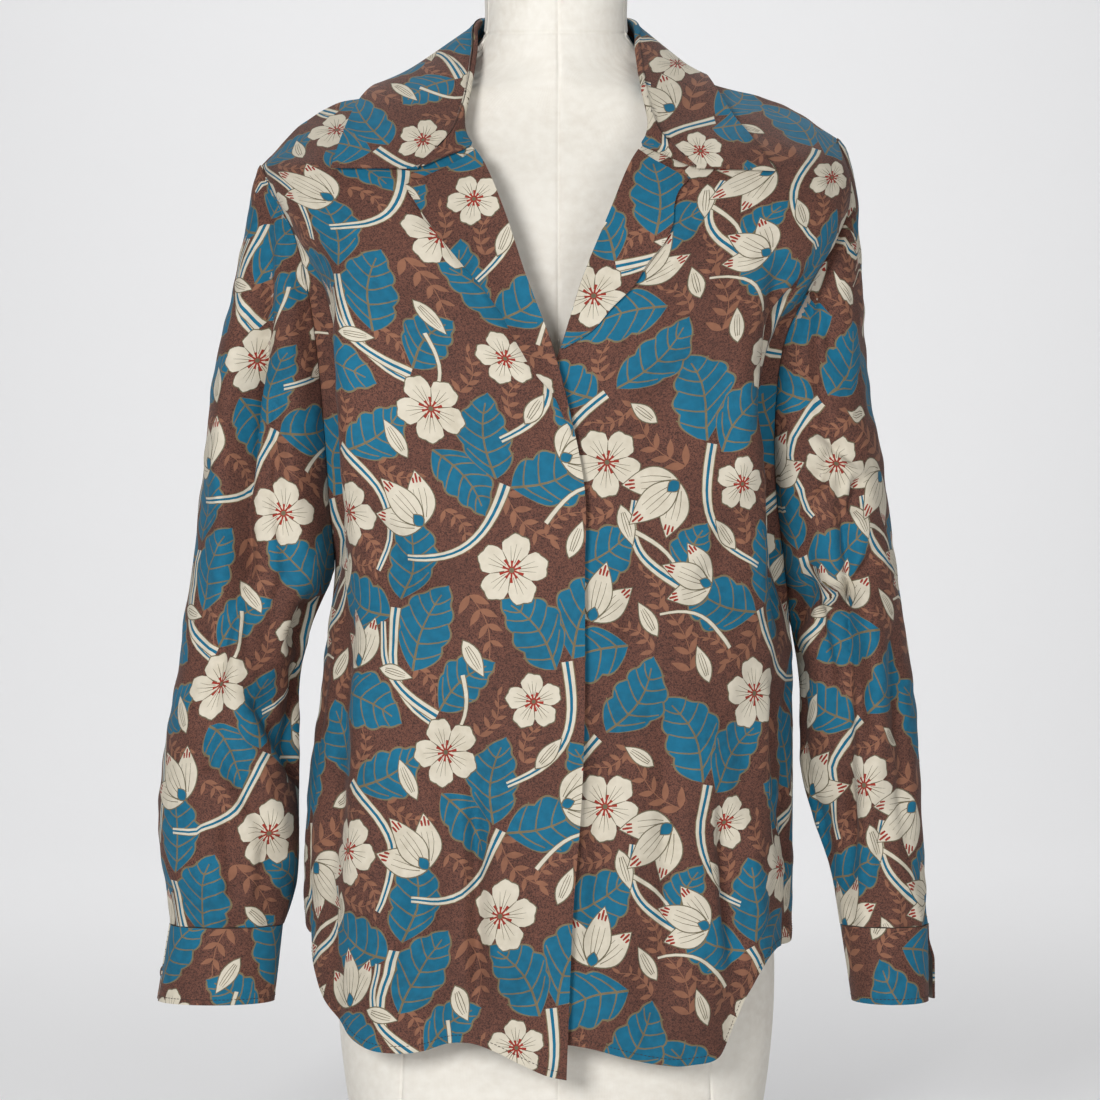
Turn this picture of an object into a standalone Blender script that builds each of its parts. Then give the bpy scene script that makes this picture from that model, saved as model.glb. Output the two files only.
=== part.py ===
"""A long-sleeved blouse worn on a limbless dress form.

Metres, +Z up. The blouse faces -Y and its wearer's right is on -X. The origin is the centre of the
form's flat base. Every panel of cloth is a thin wall over a surface that runs through named sections.
"""

import math

import bmesh
import bpy
import numpy as np
from mathutils import Vector
from mathutils.bvhtree import BVHTree

# Cloth and seams
WALL = 0.0015            # thickness of a cloth wall
SEAM_GAP = 0.0003        # between two pieces that are sewn together
LAYER_GAP = 0.0006       # between a layer and the panel it lies on
HEM_LOWEST_LEVEL = 0.05  # the tables start below the lowest hem

# Heights of the right and left armpits and of the top of the shoulder seam
ARMPIT_RIGHT = 0.441
ARMPIT_LEFT = 0.400
SHOULDER_TOP = 0.838

# One row for each section of a front, on its own side of the middle: x is positive towards that arm.
# in_ is the front edge, then the roll line of the lapel, then the neckline. out_ is the side seam,
# then the armhole seam. round is the exponent of the corner between them.
FRONT_COLUMNS = ("level", "in_x", "in_y", "in_z", "out_x", "out_y", "out_z", "round")
RIGHT_FRONT = (
    (0.050, -0.0065, -0.1480, 0.050, 0.1870, 0.0000, 0.050, 2.5),
    (0.120, -0.0090, -0.1475, 0.120, 0.1885, 0.0000, 0.120, 2.5),
    (0.200, -0.0125, -0.1465, 0.200, 0.1905, 0.0000, 0.200, 2.5),
    (0.270, -0.0180, -0.1450, 0.270, 0.1880, 0.0000, 0.270, 2.6),
    (0.340, -0.0205, -0.1430, 0.340, 0.1790, 0.0000, 0.340, 2.7),
    (0.400, -0.0207, -0.1410, 0.400, 0.1720, 0.0000, 0.400, 2.8),
    (0.441, -0.0207, -0.1400, 0.441, 0.1680, 0.0000, 0.441, 2.8),
    (0.500, -0.0205, -0.1390, 0.500, 0.1705, -0.0230, 0.490, 2.9),
    (0.545, -0.0125, -0.1380, 0.545, 0.1735, -0.0340, 0.540, 3.0),
    (0.600, 0.0015, -0.1360, 0.600, 0.1780, -0.0400, 0.595, 3.0),
    (0.660, 0.0235, -0.1260, 0.660, 0.1865, -0.0410, 0.655, 2.9),
    (0.700, 0.0365, -0.1150, 0.700, 0.1955, -0.0370, 0.690, 2.8),
    (0.740, 0.0525, -0.0970, 0.739, 0.2075, -0.0280, 0.716, 2.7),
    (0.765, 0.0665, -0.0790, 0.762, 0.2155, -0.0190, 0.732, 2.6),
    (0.790, 0.0690, -0.0540, 0.786, 0.2200, -0.0105, 0.741, 2.4),
    (0.815, 0.0670, -0.0270, 0.813, 0.2222, -0.0050, 0.7465, 2.2),
    (0.838, 0.0660, 0.0000, 0.838, 0.2234, 0.0000, 0.7486, 2.0),
)
LEFT_FRONT = (
    (0.050, -0.0150, -0.1414, 0.050, 0.1770, 0.0000, 0.050, 2.5),
    (0.120, -0.0150, -0.1409, 0.120, 0.1775, 0.0000, 0.120, 2.5),
    (0.200, -0.0150, -0.1399, 0.200, 0.1790, 0.0000, 0.200, 2.5),
    (0.270, -0.0150, -0.1384, 0.270, 0.1800, 0.0000, 0.270, 2.6),
    (0.340, -0.0150, -0.1364, 0.340, 0.1795, 0.0000, 0.340, 2.7),
    (0.400, -0.0150, -0.1344, 0.400, 0.1775, 0.0000, 0.400, 2.8),
    (0.460, -0.0150, -0.1324, 0.460, 0.1715, -0.0240, 0.450, 2.9),
    (0.520, -0.0150, -0.1314, 0.520, 0.1645, -0.0380, 0.505, 3.0),
    (0.560, -0.0130, -0.1309, 0.560, 0.1635, -0.0430, 0.550, 3.0),
    (0.600, 0.0020, -0.1305, 0.600, 0.1680, -0.0460, 0.600, 3.0),
    (0.660, 0.0212, -0.1240, 0.660, 0.1880, -0.0440, 0.650, 2.9),
    (0.700, 0.0378, -0.1145, 0.700, 0.2130, -0.0350, 0.695, 2.8),
    (0.740, 0.0540, -0.0970, 0.739, 0.2215, -0.0240, 0.726, 2.7),
    (0.765, 0.0670, -0.0790, 0.762, 0.2200, -0.0160, 0.745, 2.6),
    (0.790, 0.0685, -0.0540, 0.786, 0.2168, -0.0090, 0.757, 2.4),
    (0.815, 0.0670, -0.0270, 0.813, 0.2142, -0.0045, 0.765, 2.2),
    (0.838, 0.0660, 0.0000, 0.838, 0.2128, 0.0000, 0.769, 2.0),
)

# The back's own columns: the depth and height at its middle, and how far back each armhole seam lies
BACK_COLUMNS = ("level", "mid_y", "mid_z", "right_seam_y", "left_seam_y", "round")
BACK = (
    (0.050, 0.1400, 0.050, 0.0000, 0.0000, 2.4),
    (0.120, 0.1395, 0.120, 0.0000, 0.0000, 2.4),
    (0.200, 0.1380, 0.200, 0.0000, 0.0000, 2.4),
    (0.270, 0.1360, 0.270, 0.0000, 0.0000, 2.5),
    (0.340, 0.1330, 0.340, 0.0000, 0.0000, 2.6),
    (0.400, 0.1305, 0.400, 0.0000, 0.0000, 2.7),
    (0.441, 0.1290, 0.441, 0.0000, 0.0190, 2.7),
    (0.500, 0.1280, 0.500, 0.0220, 0.0350, 2.8),
    (0.545, 0.1275, 0.545, 0.0350, 0.0430, 2.8),
    (0.600, 0.1260, 0.600, 0.0440, 0.0480, 2.8),
    (0.660, 0.1210, 0.660, 0.0460, 0.0460, 2.7),
    (0.700, 0.1140, 0.700, 0.0420, 0.0410, 2.6),
    (0.740, 0.1040, 0.742, 0.0320, 0.0300, 2.5),
    (0.765, 0.0960, 0.768, 0.0210, 0.0200, 2.4),
    (0.790, 0.0860, 0.795, 0.0120, 0.0110, 2.3),
    (0.815, 0.0745, 0.820, 0.0050, 0.0045, 2.2),
    (0.838, 0.0640, 0.842, 0.0000, 0.0000, 2.0),
)
NECK_POINT = (0.066, 0.0, 0.838)  # where the shoulder seam meets the neckline
NECK_SHARE = 0.19                 # of the back's top edge, from its middle to the neck point
# How far the shoulder seam bows above a straight line, over its length and at its two halves
RIDGE_BOW = {"right": (0.0065, 0.0105), "left": (0.0010, 0.0055)}
CROWN_FROM = 0.70                 # the level where the crown and the neckline start to show

# A sleeve's rings, one row each. Above the armpit a ring is open, and turn is the angle that it
# covers each way from its outermost point. inner is used only below the armpit.
SLEEVE_COLUMNS = ("level", "outer", "inner", "front", "back", "middle_y", "turn")
RIGHT_SLEEVE = (
    (0.838, 0.2250, 0.2234, 0.0010, 0.0010, 0.0000, 60.0),
    (0.815, 0.2264, 0.2222, 0.0056, 0.0056, 0.0000, 64.0),
    (0.790, 0.2284, 0.2200, 0.0112, 0.0128, 0.0000, 70.0),
    (0.765, 0.2306, 0.2155, 0.0193, 0.0213, 0.0005, 80.0),
    (0.740, 0.2340, 0.2075, 0.0305, 0.0340, 0.0010, 92.0),
    (0.700, 0.2388, 0.1955, 0.0440, 0.0480, 0.0020, 112.0),
    (0.660, 0.2450, 0.1865, 0.0540, 0.0580, 0.0030, 128.0),
    (0.600, 0.2555, 0.1780, 0.0630, 0.0670, 0.0030, 144.0),
    (0.545, 0.2635, 0.1735, 0.0650, 0.0690, 0.0020, 153.0),
    (0.500, 0.2705, 0.1705, 0.0650, 0.0670, 0.0000, 162.0),
    (0.441, 0.2765, 0.1686, 0.0620, 0.0640, -0.0020, 180.0),
    (0.400, 0.2822, 0.1850, 0.0590, 0.0600, -0.0040, 180.0),
    (0.360, 0.2876, 0.1940, 0.0560, 0.0570, -0.0060, 180.0),
    (0.320, 0.2940, 0.1945, 0.0540, 0.0550, -0.0080, 180.0),
    (0.270, 0.3005, 0.1945, 0.0520, 0.0530, -0.0110, 180.0),
    (0.235, 0.2995, 0.1945, 0.0490, 0.0500, -0.0130, 180.0),
    (0.205, 0.2955, 0.1960, 0.0450, 0.0450, -0.0150, 180.0),
    (0.186, 0.2925, 0.2010, 0.0395, 0.0385, -0.0160, 180.0),
    (0.174, 0.2915, 0.2055, 0.0350, 0.0340, -0.0170, 180.0),
)
LEFT_SLEEVE = (
    (0.838, 0.2144, 0.2128, 0.0010, 0.0010, 0.0000, 60.0),
    (0.815, 0.2182, 0.2142, 0.0051, 0.0055, 0.0000, 62.0),
    (0.790, 0.2222, 0.2168, 0.0099, 0.0120, 0.0000, 66.0),
    (0.765, 0.2256, 0.2200, 0.0168, 0.0210, 0.0005, 72.0),
    (0.740, 0.2288, 0.2215, 0.0250, 0.0305, 0.0010, 80.0),
    (0.700, 0.2306, 0.2130, 0.0400, 0.0460, 0.0020, 100.0),
    (0.660, 0.2332, 0.1880, 0.0530, 0.0570, 0.0030, 122.0),
    (0.600, 0.2385, 0.1680, 0.0620, 0.0660, 0.0030, 143.0),
    (0.560, 0.2445, 0.1635, 0.0640, 0.0680, 0.0020, 150.0),
    (0.520, 0.2500, 0.1645, 0.0645, 0.0680, 0.0010, 157.0),
    (0.460, 0.2575, 0.1715, 0.0630, 0.0660, 0.0000, 166.0),
    (0.400, 0.2645, 0.1781, 0.0600, 0.0620, -0.0020, 180.0),
    (0.360, 0.2700, 0.1842, 0.0570, 0.0580, -0.0040, 180.0),
    (0.320, 0.2738, 0.1850, 0.0540, 0.0550, -0.0060, 180.0),
    (0.285, 0.2760, 0.1865, 0.0510, 0.0520, -0.0080, 180.0),
    (0.250, 0.2770, 0.1960, 0.0470, 0.0480, -0.0100, 180.0),
    (0.213, 0.2788, 0.2080, 0.0420, 0.0420, -0.0125, 180.0),
    (0.190, 0.2800, 0.2120, 0.0370, 0.0365, -0.0145, 180.0),
    (0.174, 0.2812, 0.2143, 0.0335, 0.0330, -0.0155, 180.0),
)

# Hem heights along each panel, from its front edge or its middle (0) to its side seam (1)
RIGHT_HEM = ((0.0, 0.0742), (0.037, 0.0763), (0.11, 0.0857), (0.173, 0.095), (0.22, 0.1000), (0.281, 0.0994),
             (0.342, 0.0928), (0.432, 0.0909), (0.540, 0.0977), (0.638, 0.1147), (0.797, 0.161),
             (1.0, 0.185))
LEFT_HEM = ((0.0, 0.100), (0.076, 0.0986), (0.132, 0.0957), (0.205, 0.0892), (0.282, 0.0834), (0.370, 0.0816),
            (0.488, 0.096), (0.537, 0.122), (0.597, 0.145), (0.862, 0.165), (1.0, 0.185))
BACK_HEM = ((0.0, 0.082), (0.30, 0.082), (0.45, 0.090), (0.54, 0.104), (0.63, 0.126),
            (0.74, 0.148), (0.87, 0.168), (1.0, 0.185))

# Soft folds, one row each: where it lies across the panel at its top and at its foot, its top and
# foot levels, its depth inwards (a negative depth stands out) and its half width across the panel
FOLD_COLUMNS = ("top_at", "foot_at", "top", "foot", "depth", "width")
RIGHT_FRONT_FOLDS = (
    (0.36, 0.31, 0.42, 0.00, 0.0070, 0.045),
    (0.46, 0.45, 0.36, 0.00, -0.0045, 0.050),
    (0.66, 0.60, 0.48, 0.00, 0.0060, 0.050),
    (0.78, 0.84, 0.40, 0.00, 0.0065, 0.035),
)
LEFT_FRONT_FOLDS = (
    (0.30, 0.26, 0.38, 0.00, 0.0050, 0.045),
    (0.52, 0.50, 0.40, 0.00, 0.0065, 0.050),
    (0.74, 0.70, 0.70, 0.36, 0.0080, 0.035),
    (0.80, 0.76, 0.40, 0.00, 0.0060, 0.040),
)
BACK_FOLDS = (
    (-0.62, -0.58, 0.64, 0.00, 0.0080, 0.050),
    (-0.34, -0.36, 0.56, 0.00, 0.0060, 0.050),
    (-0.06, -0.10, 0.44, 0.00, 0.0050, 0.045),
    (0.20, 0.18, 0.50, 0.00, 0.0065, 0.050),
    (0.44, 0.46, 0.60, 0.00, 0.0075, 0.050),
    (0.72, 0.70, 0.66, 0.00, 0.0070, 0.045),
)
# On a sleeve the place is the share of the way round from the outermost line, minus to the front
RIGHT_SLEEVE_FOLDS = (
    (-0.40, -0.42, 0.66, 0.30, 0.0130, 0.060),
    (-0.68, -0.66, 0.62, 0.36, 0.0060, 0.050),
    (-0.30, -0.78, 0.36, 0.22, 0.0090, 0.055),
    (0.35, 0.40, 0.66, 0.24, 0.0110, 0.065),
    (0.70, 0.66, 0.60, 0.30, 0.0070, 0.055),
)
LEFT_SLEEVE_FOLDS = (
    (-0.52, -0.50, 0.56, 0.26, 0.0110, 0.055),
    (-0.78, -0.74, 0.50, 0.32, 0.0060, 0.050),
    (-0.24, -0.30, 0.42, 0.20, 0.0060, 0.060),
    (0.36, 0.42, 0.64, 0.24, 0.0110, 0.065),
    (0.68, 0.70, 0.56, 0.30, 0.0070, 0.055),
)
FOLD_FADE = 0.09   # the length over which a fold starts and ends
GATHERS = 9        # soft pleats where a sleeve is drawn into its cuff
GATHER_DEPTH = 0.0022
GATHER_HEIGHT = 0.045

# Lapels: how far from the middle the free edge of each turned-back front lies, by level
LAPEL_COLUMNS = ("level", "edge_x")
RIGHT_LAPEL = (
    (0.538, -0.0160), (0.547, -0.0085), (0.570, 0.0030), (0.580, 0.0120), (0.605, 0.0280),
    (0.633, 0.0440), (0.662, 0.0668), (0.693, 0.0905), (0.731, 0.1110),
)
LEFT_LAPEL = (
    (0.602, 0.0060), (0.611, 0.0210), (0.6335, 0.0415), (0.6485, 0.0555), (0.667, 0.0668),
    (0.683, 0.0800), (0.695, 0.0850), (0.707, 0.0858), (0.722, 0.0905), (0.7315, 0.0978),
)
LAPEL_NECK_LEVEL = 0.750     # of the inner end of a lapel's top edge
LAPEL_STAND = {"right": 0.0045, "left": 0.0012}   # of the free edge off the front

# Collar, one row for each station from its front end to the middle of the back, on one side.
# r_ is the fold, and the free edges have their own rows. The neckline is given as a level on a front,
# then as a share of the back's top edge.
COLLAR_COLUMNS = ("neck_level", "neck_share", "r_x", "r_y", "r_z")
COLLAR = (
    (0.745, 1.00, 0.1010, -0.0935, 0.7365),
    (0.757, 1.00, 0.0790, -0.0860, 0.7590),
    (0.775, 1.00, 0.0700, -0.0690, 0.7810),
    (0.797, 1.00, 0.0650, -0.0490, 0.8060),
    (0.820, 1.00, 0.0622, -0.0250, 0.8320),
    (0.838, 1.00, 0.0607, 0.0010, 0.8545),
    (0.838, 0.66, 0.0450, 0.0450, 0.8650),
    (0.838, 0.33, 0.0235, 0.0590, 0.8690),
    (0.838, 0.00, 0.0000, 0.0635, 0.8700),
)
COLLAR_EDGE_RIGHT = (
    (0.1662, -0.0850, 0.7384), (0.1602, -0.0700, 0.7600), (0.1527, -0.0500, 0.7830),
    (0.1440, -0.0260, 0.8010), (0.1340, 0.0000, 0.8110), (0.1230, 0.0280, 0.8070),
    (0.0960, 0.0680, 0.7960), (0.0520, 0.0860, 0.7960), (0.0000, 0.0920, 0.7980),
)
COLLAR_EDGE_LEFT = (
    (0.1614, -0.0850, 0.7355), (0.1455, -0.0680, 0.7600), (0.1300, -0.0480, 0.7850),
    (0.1190, -0.0250, 0.8070), (0.1130, 0.0000, 0.8180), (0.1090, 0.0280, 0.8110),
    (0.0910, 0.0680, 0.7980), (0.0520, 0.0860, 0.7960), (0.0000, 0.0920, 0.7980),
)
COLLAR_FOLD_RADIUS = 0.0032
COLLAR_CLEARANCE = 0.0048   # of the collar's fall over the panels and the lapels
COLLAR_SLANT = 1.25         # more where it is measured straight forwards over a slanting front
COLLAR_WALL = 0.0014

# The strip with the buttonholes, hidden behind the front edge of the right front
FLY_WIDTH = 0.034
FLY_TOP = 0.540
FLY_FOOT_ABOVE_HEM = 0.004
FLY_WALL = 0.0010
BUTTON_HEIGHTS = (0.515, 0.425, 0.335, 0.245, 0.155)
BUTTON_RADIUS = 0.0055
BUTTON_THICKNESS = 0.0016
BUTTON_SIDES = 16

# Cuffs: the ring at the top and at the foot, and how far the button end laps over
CUFF_COLUMNS = ("z", "outer", "inner", "front", "back", "middle_y")
RIGHT_CUFF = ((0.1736, 0.2912, 0.2062, 0.0335, 0.0325, -0.0170),
              (0.1455, 0.2958, 0.2092, 0.0345, 0.0335, -0.0180),
              (0.1165, 0.3005, 0.2125, 0.0355, 0.0345, -0.0190))
LEFT_CUFF = ((0.1736, 0.2806, 0.2147, 0.0325, 0.0320, -0.0155),
             (0.1455, 0.2812, 0.2190, 0.0335, 0.0330, -0.0165),
             (0.1165, 0.2812, 0.2232, 0.0345, 0.0340, -0.0175))
CUFF_WALL = 0.0018
CUFF_LAP_DEGREES = 26.0
CUFF_LAP_LIFT = 0.0026
CUFF_OPENING_DEGREES = 38.0   # behind the outermost line
CUFF_FLARE = 0.0040           # the free end of the left cuff stands out

# Dress form, one row for each ring
FORM_COLUMNS = ("z", "half_width", "front", "back", "round")
FORM = (
    (0.000, 0.1500, 0.0950, 0.1080, 2.3),
    (0.050, 0.1590, 0.1000, 0.1140, 2.3),
    (0.110, 0.1650, 0.1040, 0.1190, 2.3),
    (0.180, 0.1640, 0.1050, 0.1190, 2.3),
    (0.250, 0.1540, 0.1010, 0.1110, 2.3),
    (0.320, 0.1330, 0.0930, 0.0940, 2.3),
    (0.384, 0.1190, 0.0880, 0.0800, 2.3),
    (0.440, 0.1240, 0.0960, 0.0820, 2.3),
    (0.500, 0.1360, 0.1080, 0.0900, 2.3),
    (0.560, 0.1440, 0.1130, 0.0970, 2.4),
    (0.610, 0.1490, 0.1060, 0.1020, 2.4),
    (0.660, 0.1560, 0.0940, 0.1040, 2.4),
    (0.705, 0.1680, 0.0800, 0.0990, 2.4),
    (0.740, 0.1740, 0.0660, 0.0870, 2.3),
    (0.765, 0.1690, 0.0560, 0.0720, 2.2),
    (0.785, 0.1540, 0.0500, 0.0610, 1.9),
    (0.800, 0.1320, 0.0480, 0.0590, 1.5),
    (0.811, 0.1080, 0.0480, 0.0540, 1.2),
    (0.821, 0.0810, 0.0480, 0.0515, 1.2),
    (0.830, 0.0650, 0.0480, 0.0500, 1.4),
    (0.840, 0.0570, 0.0485, 0.0500, 1.8),
    (0.852, 0.0545, 0.0490, 0.0505, 2.0),
    (0.875, 0.0542, 0.0500, 0.0510, 2.0),
    (0.912, 0.0558, 0.0520, 0.0530, 2.0),
)
FORM_CLEARANCE = 0.0018   # of the form's shoulders under the cloth
BUST = ((0.078, 0.548), 0.052, 0.016)   # place on the front, spread and height of each side

# Mesh sizes
FRONT_GRID = (14, 26)
BACK_GRID = (13, 26)      # columns on each side of the middle, rows
SLEEVE_GRID = (28, 26)
FORM_SIDES = 32
CUFF_SIDES = 28
LAPEL_GRID = (4, 12)
COLLAR_STEPS = 3          # between two stations

MATERIALS = {
    "print_cloth": ((0.105, 0.050, 0.038), 0.75),
    "linen_cover": ((0.800, 0.750, 0.670), 0.85),
    "button_brown": ((0.060, 0.030, 0.020), 0.35),
}


def table(columns, rows):
    """The rows as a dict of arrays, one for each named column."""
    values = np.array(rows, float)
    return {name: values[:, i] for i, name in enumerate(columns)}


def smooth(knots, values, at):
    """A smooth curve through the values at rising knots."""
    at = np.clip(at, knots[0], knots[-1])
    slopes = np.gradient(values, knots)
    i = np.clip(np.searchsorted(knots, at) - 1, 0, len(knots) - 2)
    width = knots[i + 1] - knots[i]
    s = (at - knots[i]) / width
    return (
        values[i] * (1 + 2 * s) * (1 - s) ** 2
        + slopes[i] * width * s * (1 - s) ** 2
        + values[i + 1] * s * s * (3 - 2 * s)
        + slopes[i + 1] * width * s * s * (s - 1)
    )


def section(rows, level):
    """Each column of a table at the given levels."""
    order = np.argsort(rows["level"])
    knots = rows["level"][order]
    return {name: smooth(knots, values[order], level) for name, values in rows.items()}


def corner(share, exponent):
    """A rounded corner from (0, 1) to (1, 0), as its two coordinates at a share of the way round."""
    angle = share * math.pi / 2
    across, along = np.sin(angle), np.cos(angle)
    size = (np.abs(across) ** exponent + np.abs(along) ** exponent) ** (1 / exponent)
    return across / size, along / size


def rise(value, start, end):
    """0 before start and 1 after end, with a smooth step between."""
    t = np.clip((value - start) / (end - start), 0, 1)
    return t * t * (3 - 2 * t)


def folds(rows, at, level):
    """How far the folds push the cloth inwards at a place and level."""
    depth = np.zeros(np.broadcast(at, level).shape)
    for top_at, foot_at, top, foot, most, width in rows:
        along = np.clip((level - foot) / (top - foot), 0, 1)
        middle = foot_at + (top_at - foot_at) * along
        fade = rise(level, top, top - FOLD_FADE)
        if foot > 0:
            fade = fade * rise(level, foot, foot + FOLD_FADE)
        else:
            fade = fade * (1.0 - 0.55 * along)
        depth = depth + most * fade * np.exp(-(((at - middle) / width) ** 2))
    return depth


FRONTS = {"right": table(FRONT_COLUMNS, RIGHT_FRONT), "left": table(FRONT_COLUMNS, LEFT_FRONT)}
BACK_ROWS = table(BACK_COLUMNS, BACK)
SLEEVES = {"right": table(SLEEVE_COLUMNS, RIGHT_SLEEVE), "left": table(SLEEVE_COLUMNS, LEFT_SLEEVE)}
FRONT_FOLDS = {"right": RIGHT_FRONT_FOLDS, "left": LEFT_FRONT_FOLDS}
SLEEVE_FOLDS = {"right": RIGHT_SLEEVE_FOLDS, "left": LEFT_SLEEVE_FOLDS}
SIDES = {"right": -1.0, "left": 1.0}
ARMPITS = {"right": ARMPIT_RIGHT, "left": ARMPIT_LEFT}


def ridge_bow(side, along):
    """The height of the shoulder seam over a straight line at a share of its length."""
    whole, halves = RIDGE_BOW[side]
    return whole * np.sin(math.pi * along) - halves * np.sin(2 * math.pi * along)


def front_base(side, share, level):
    """A point of a front, before its folds."""
    row = section(FRONTS[side], level)
    row["out_y"] = np.minimum(row["out_y"], 0)
    across, along = corner(share, row["round"])
    crown = np.clip((level - CROWN_FROM) / (SHOULDER_TOP - CROWN_FROM), 0, 1) ** 2
    x = row["in_x"] + (row["out_x"] - row["in_x"]) * across
    y = row["out_y"] - SEAM_GAP / 2 + (row["in_y"] - row["out_y"]) * along
    z = row["in_z"] + (row["out_z"] - row["in_z"]) * across
    z = z + crown * ridge_bow(side, np.clip(across, 0, 1))
    return np.stack([SIDES[side] * x, y, z], -1)


def back_half(side, share, level):
    """A point of the back on one side of its middle, before its folds."""
    row = section(BACK_ROWS, level)
    edge = section(FRONTS[side], level)
    seam_y = np.maximum(row[side + "_seam_y"], 0)
    across, along = corner(share, row["round"])
    x = edge["out_x"] * across
    y = seam_y + SEAM_GAP / 2 + (row["mid_y"] - seam_y) * along
    z = row["mid_z"] + (edge["out_z"] - row["mid_z"]) * across
    top = section(BACK_ROWS, np.full_like(level, SHOULDER_TOP))
    top_edge = section(FRONTS[side], np.full_like(level, SHOULDER_TOP))
    top_across, top_along = corner(share, top["round"])
    plain = np.stack([
        top_edge["out_x"] * top_across,
        SEAM_GAP / 2 + top["mid_y"] * top_along,
        top["mid_z"] + (top_edge["out_z"] - top["mid_z"]) * top_across,
    ], -1)
    turn = np.clip(share / NECK_SHARE, 0, 1) * math.pi / 2
    neck = np.stack([
        NECK_POINT[0] * np.sin(turn),
        SEAM_GAP / 2 + top["mid_y"] * np.cos(turn),
        NECK_POINT[2] + (top["mid_z"] - NECK_POINT[2]) * np.cos(turn),
    ], -1)
    past = np.clip((share - NECK_SHARE) / (1 - NECK_SHARE), 0, 1)
    ridge_x = NECK_POINT[0] + (top_edge["out_x"] - NECK_POINT[0]) * past
    ridge_z = NECK_POINT[2] + (top_edge["out_z"] - NECK_POINT[2]) * past
    ridge = np.stack([
        ridge_x,
        np.full_like(ridge_x, SEAM_GAP / 2),
        ridge_z + ridge_bow(side, past),
    ], -1)
    wanted = np.where((share < NECK_SHARE)[..., None], neck, ridge)
    crown = np.clip((level - CROWN_FROM) / (SHOULDER_TOP - CROWN_FROM), 0, 1) ** 2
    point = np.stack([x, y, z], -1) + crown[..., None] * (wanted - plain)
    return point * np.array([SIDES[side], 1, 1])


def back_base(share, level):
    """A point of the back: share runs from -1 at the right side to 1 at the left."""
    right = back_half("right", np.abs(share), level)
    left = back_half("left", np.abs(share), level)
    return np.where((share < 0)[..., None], right, left)


def armhole(side, level, behind):
    """The armhole seam, on the front or behind."""
    row = section(FRONTS[side], level)
    if behind:
        y = np.maximum(section(BACK_ROWS, level)[side + "_seam_y"], 0) + SEAM_GAP / 2
    else:
        y = np.minimum(row["out_y"], 0) - SEAM_GAP / 2
    return np.stack([SIDES[side] * row["out_x"], y, row["out_z"]], -1)


def sleeve_base(side, round_share, level):
    """A point of a sleeve: round_share runs from -1 at the front seam, through 0 outermost, to 1 behind."""
    row = section(SLEEVES[side], level)
    open_ring = level > ARMPITS[side]
    turn = np.radians(np.clip(row["turn"], 0, 180))
    seam_x = section(FRONTS[side], level)["out_x"] + SEAM_GAP
    inner = np.where(open_ring, seam_x, row["inner"])
    half = (row["outer"] - inner) / (1 - np.cos(turn))
    angle = round_share * turn
    depth = np.where(round_share < 0, row["front"], row["back"])
    x = row["outer"] - half * (1 - np.cos(angle))
    y = row["middle_y"] + depth * np.sin(angle)
    z = np.where(open_ring, section(FRONTS[side], level)["out_z"], level)
    point = np.stack([SIDES[side] * x, y, z], -1)
    seam_front, seam_back = armhole(side, level, False), armhole(side, level, True)
    seam = np.where((round_share < 0)[..., None], seam_front, seam_back)
    end_angle = np.sign(round_share) * turn
    end_y = row["middle_y"] + depth * np.sin(end_angle)
    pull = np.abs(round_share) ** 3 * np.where(open_ring, seam[..., 1] - end_y, 0.0)
    point[..., 1] += pull
    return point


def normals(surface, share, level, step=0.002):
    """The unit normals of a surface, by differences."""
    across = surface(share + step, level) - surface(share - step, level)
    along = surface(share, level + step) - surface(share, level - step)
    cross = np.cross(across, along)
    return cross / np.maximum(np.linalg.norm(cross, axis=-1, keepdims=True), 1e-12)


def front(side, share, level):
    out = normals(lambda s, v: front_base(side, s, v), share, level) * SIDES[side]
    depth = folds(FRONT_FOLDS[side], share, level) * rise(share, 0.0, 0.1) * rise(share, 1.0, 0.93)
    return front_base(side, share, level) - depth[..., None] * out


def back(share, level):
    out = -normals(back_base, share, level)
    depth = folds(BACK_FOLDS, share, level) * rise(np.abs(share), 1.0, 0.93)
    return back_base(share, level) - depth[..., None] * out


def sleeve(side, round_share, level):
    out = normals(lambda s, v: sleeve_base(side, s, v), round_share, level) * SIDES[side]
    depth = folds(SLEEVE_FOLDS[side], round_share, level)
    foot = SLEEVES[side]["level"].min()
    gather = GATHER_DEPTH * (0.5 + 0.5 * np.cos(GATHERS * math.pi * (round_share + 1)))
    depth = depth + gather * rise(level, foot + GATHER_HEIGHT, foot)
    depth = depth * rise(np.abs(round_share), 1.0, 0.9)
    return sleeve_base(side, round_share, level) - depth[..., None] * out


def material(name):
    """A plain material of that name, made once."""
    found = bpy.data.materials.get(name)
    if found:
        return found
    colour, roughness = MATERIALS[name]
    made = bpy.data.materials.new(name)
    made.use_nodes = True
    shader = made.node_tree.nodes["Principled BSDF"]
    shader.inputs["Base Color"].default_value = (*colour, 1)
    shader.inputs["Roughness"].default_value = roughness
    return made


def put(name, mesh_data, material_name):
    """An object made from a bmesh, with its faces turned outwards."""
    bmesh.ops.recalc_face_normals(mesh_data, faces=mesh_data.faces)
    mesh = bpy.data.meshes.new(name)
    mesh_data.to_mesh(mesh)
    mesh_data.free()
    mesh.shade_smooth()
    mesh.set_sharp_from_angle(angle=math.radians(50))
    mesh.materials.append(material(material_name))
    made = bpy.data.objects.new(name, mesh)
    bpy.context.scene.collection.objects.link(made)
    return made


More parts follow.
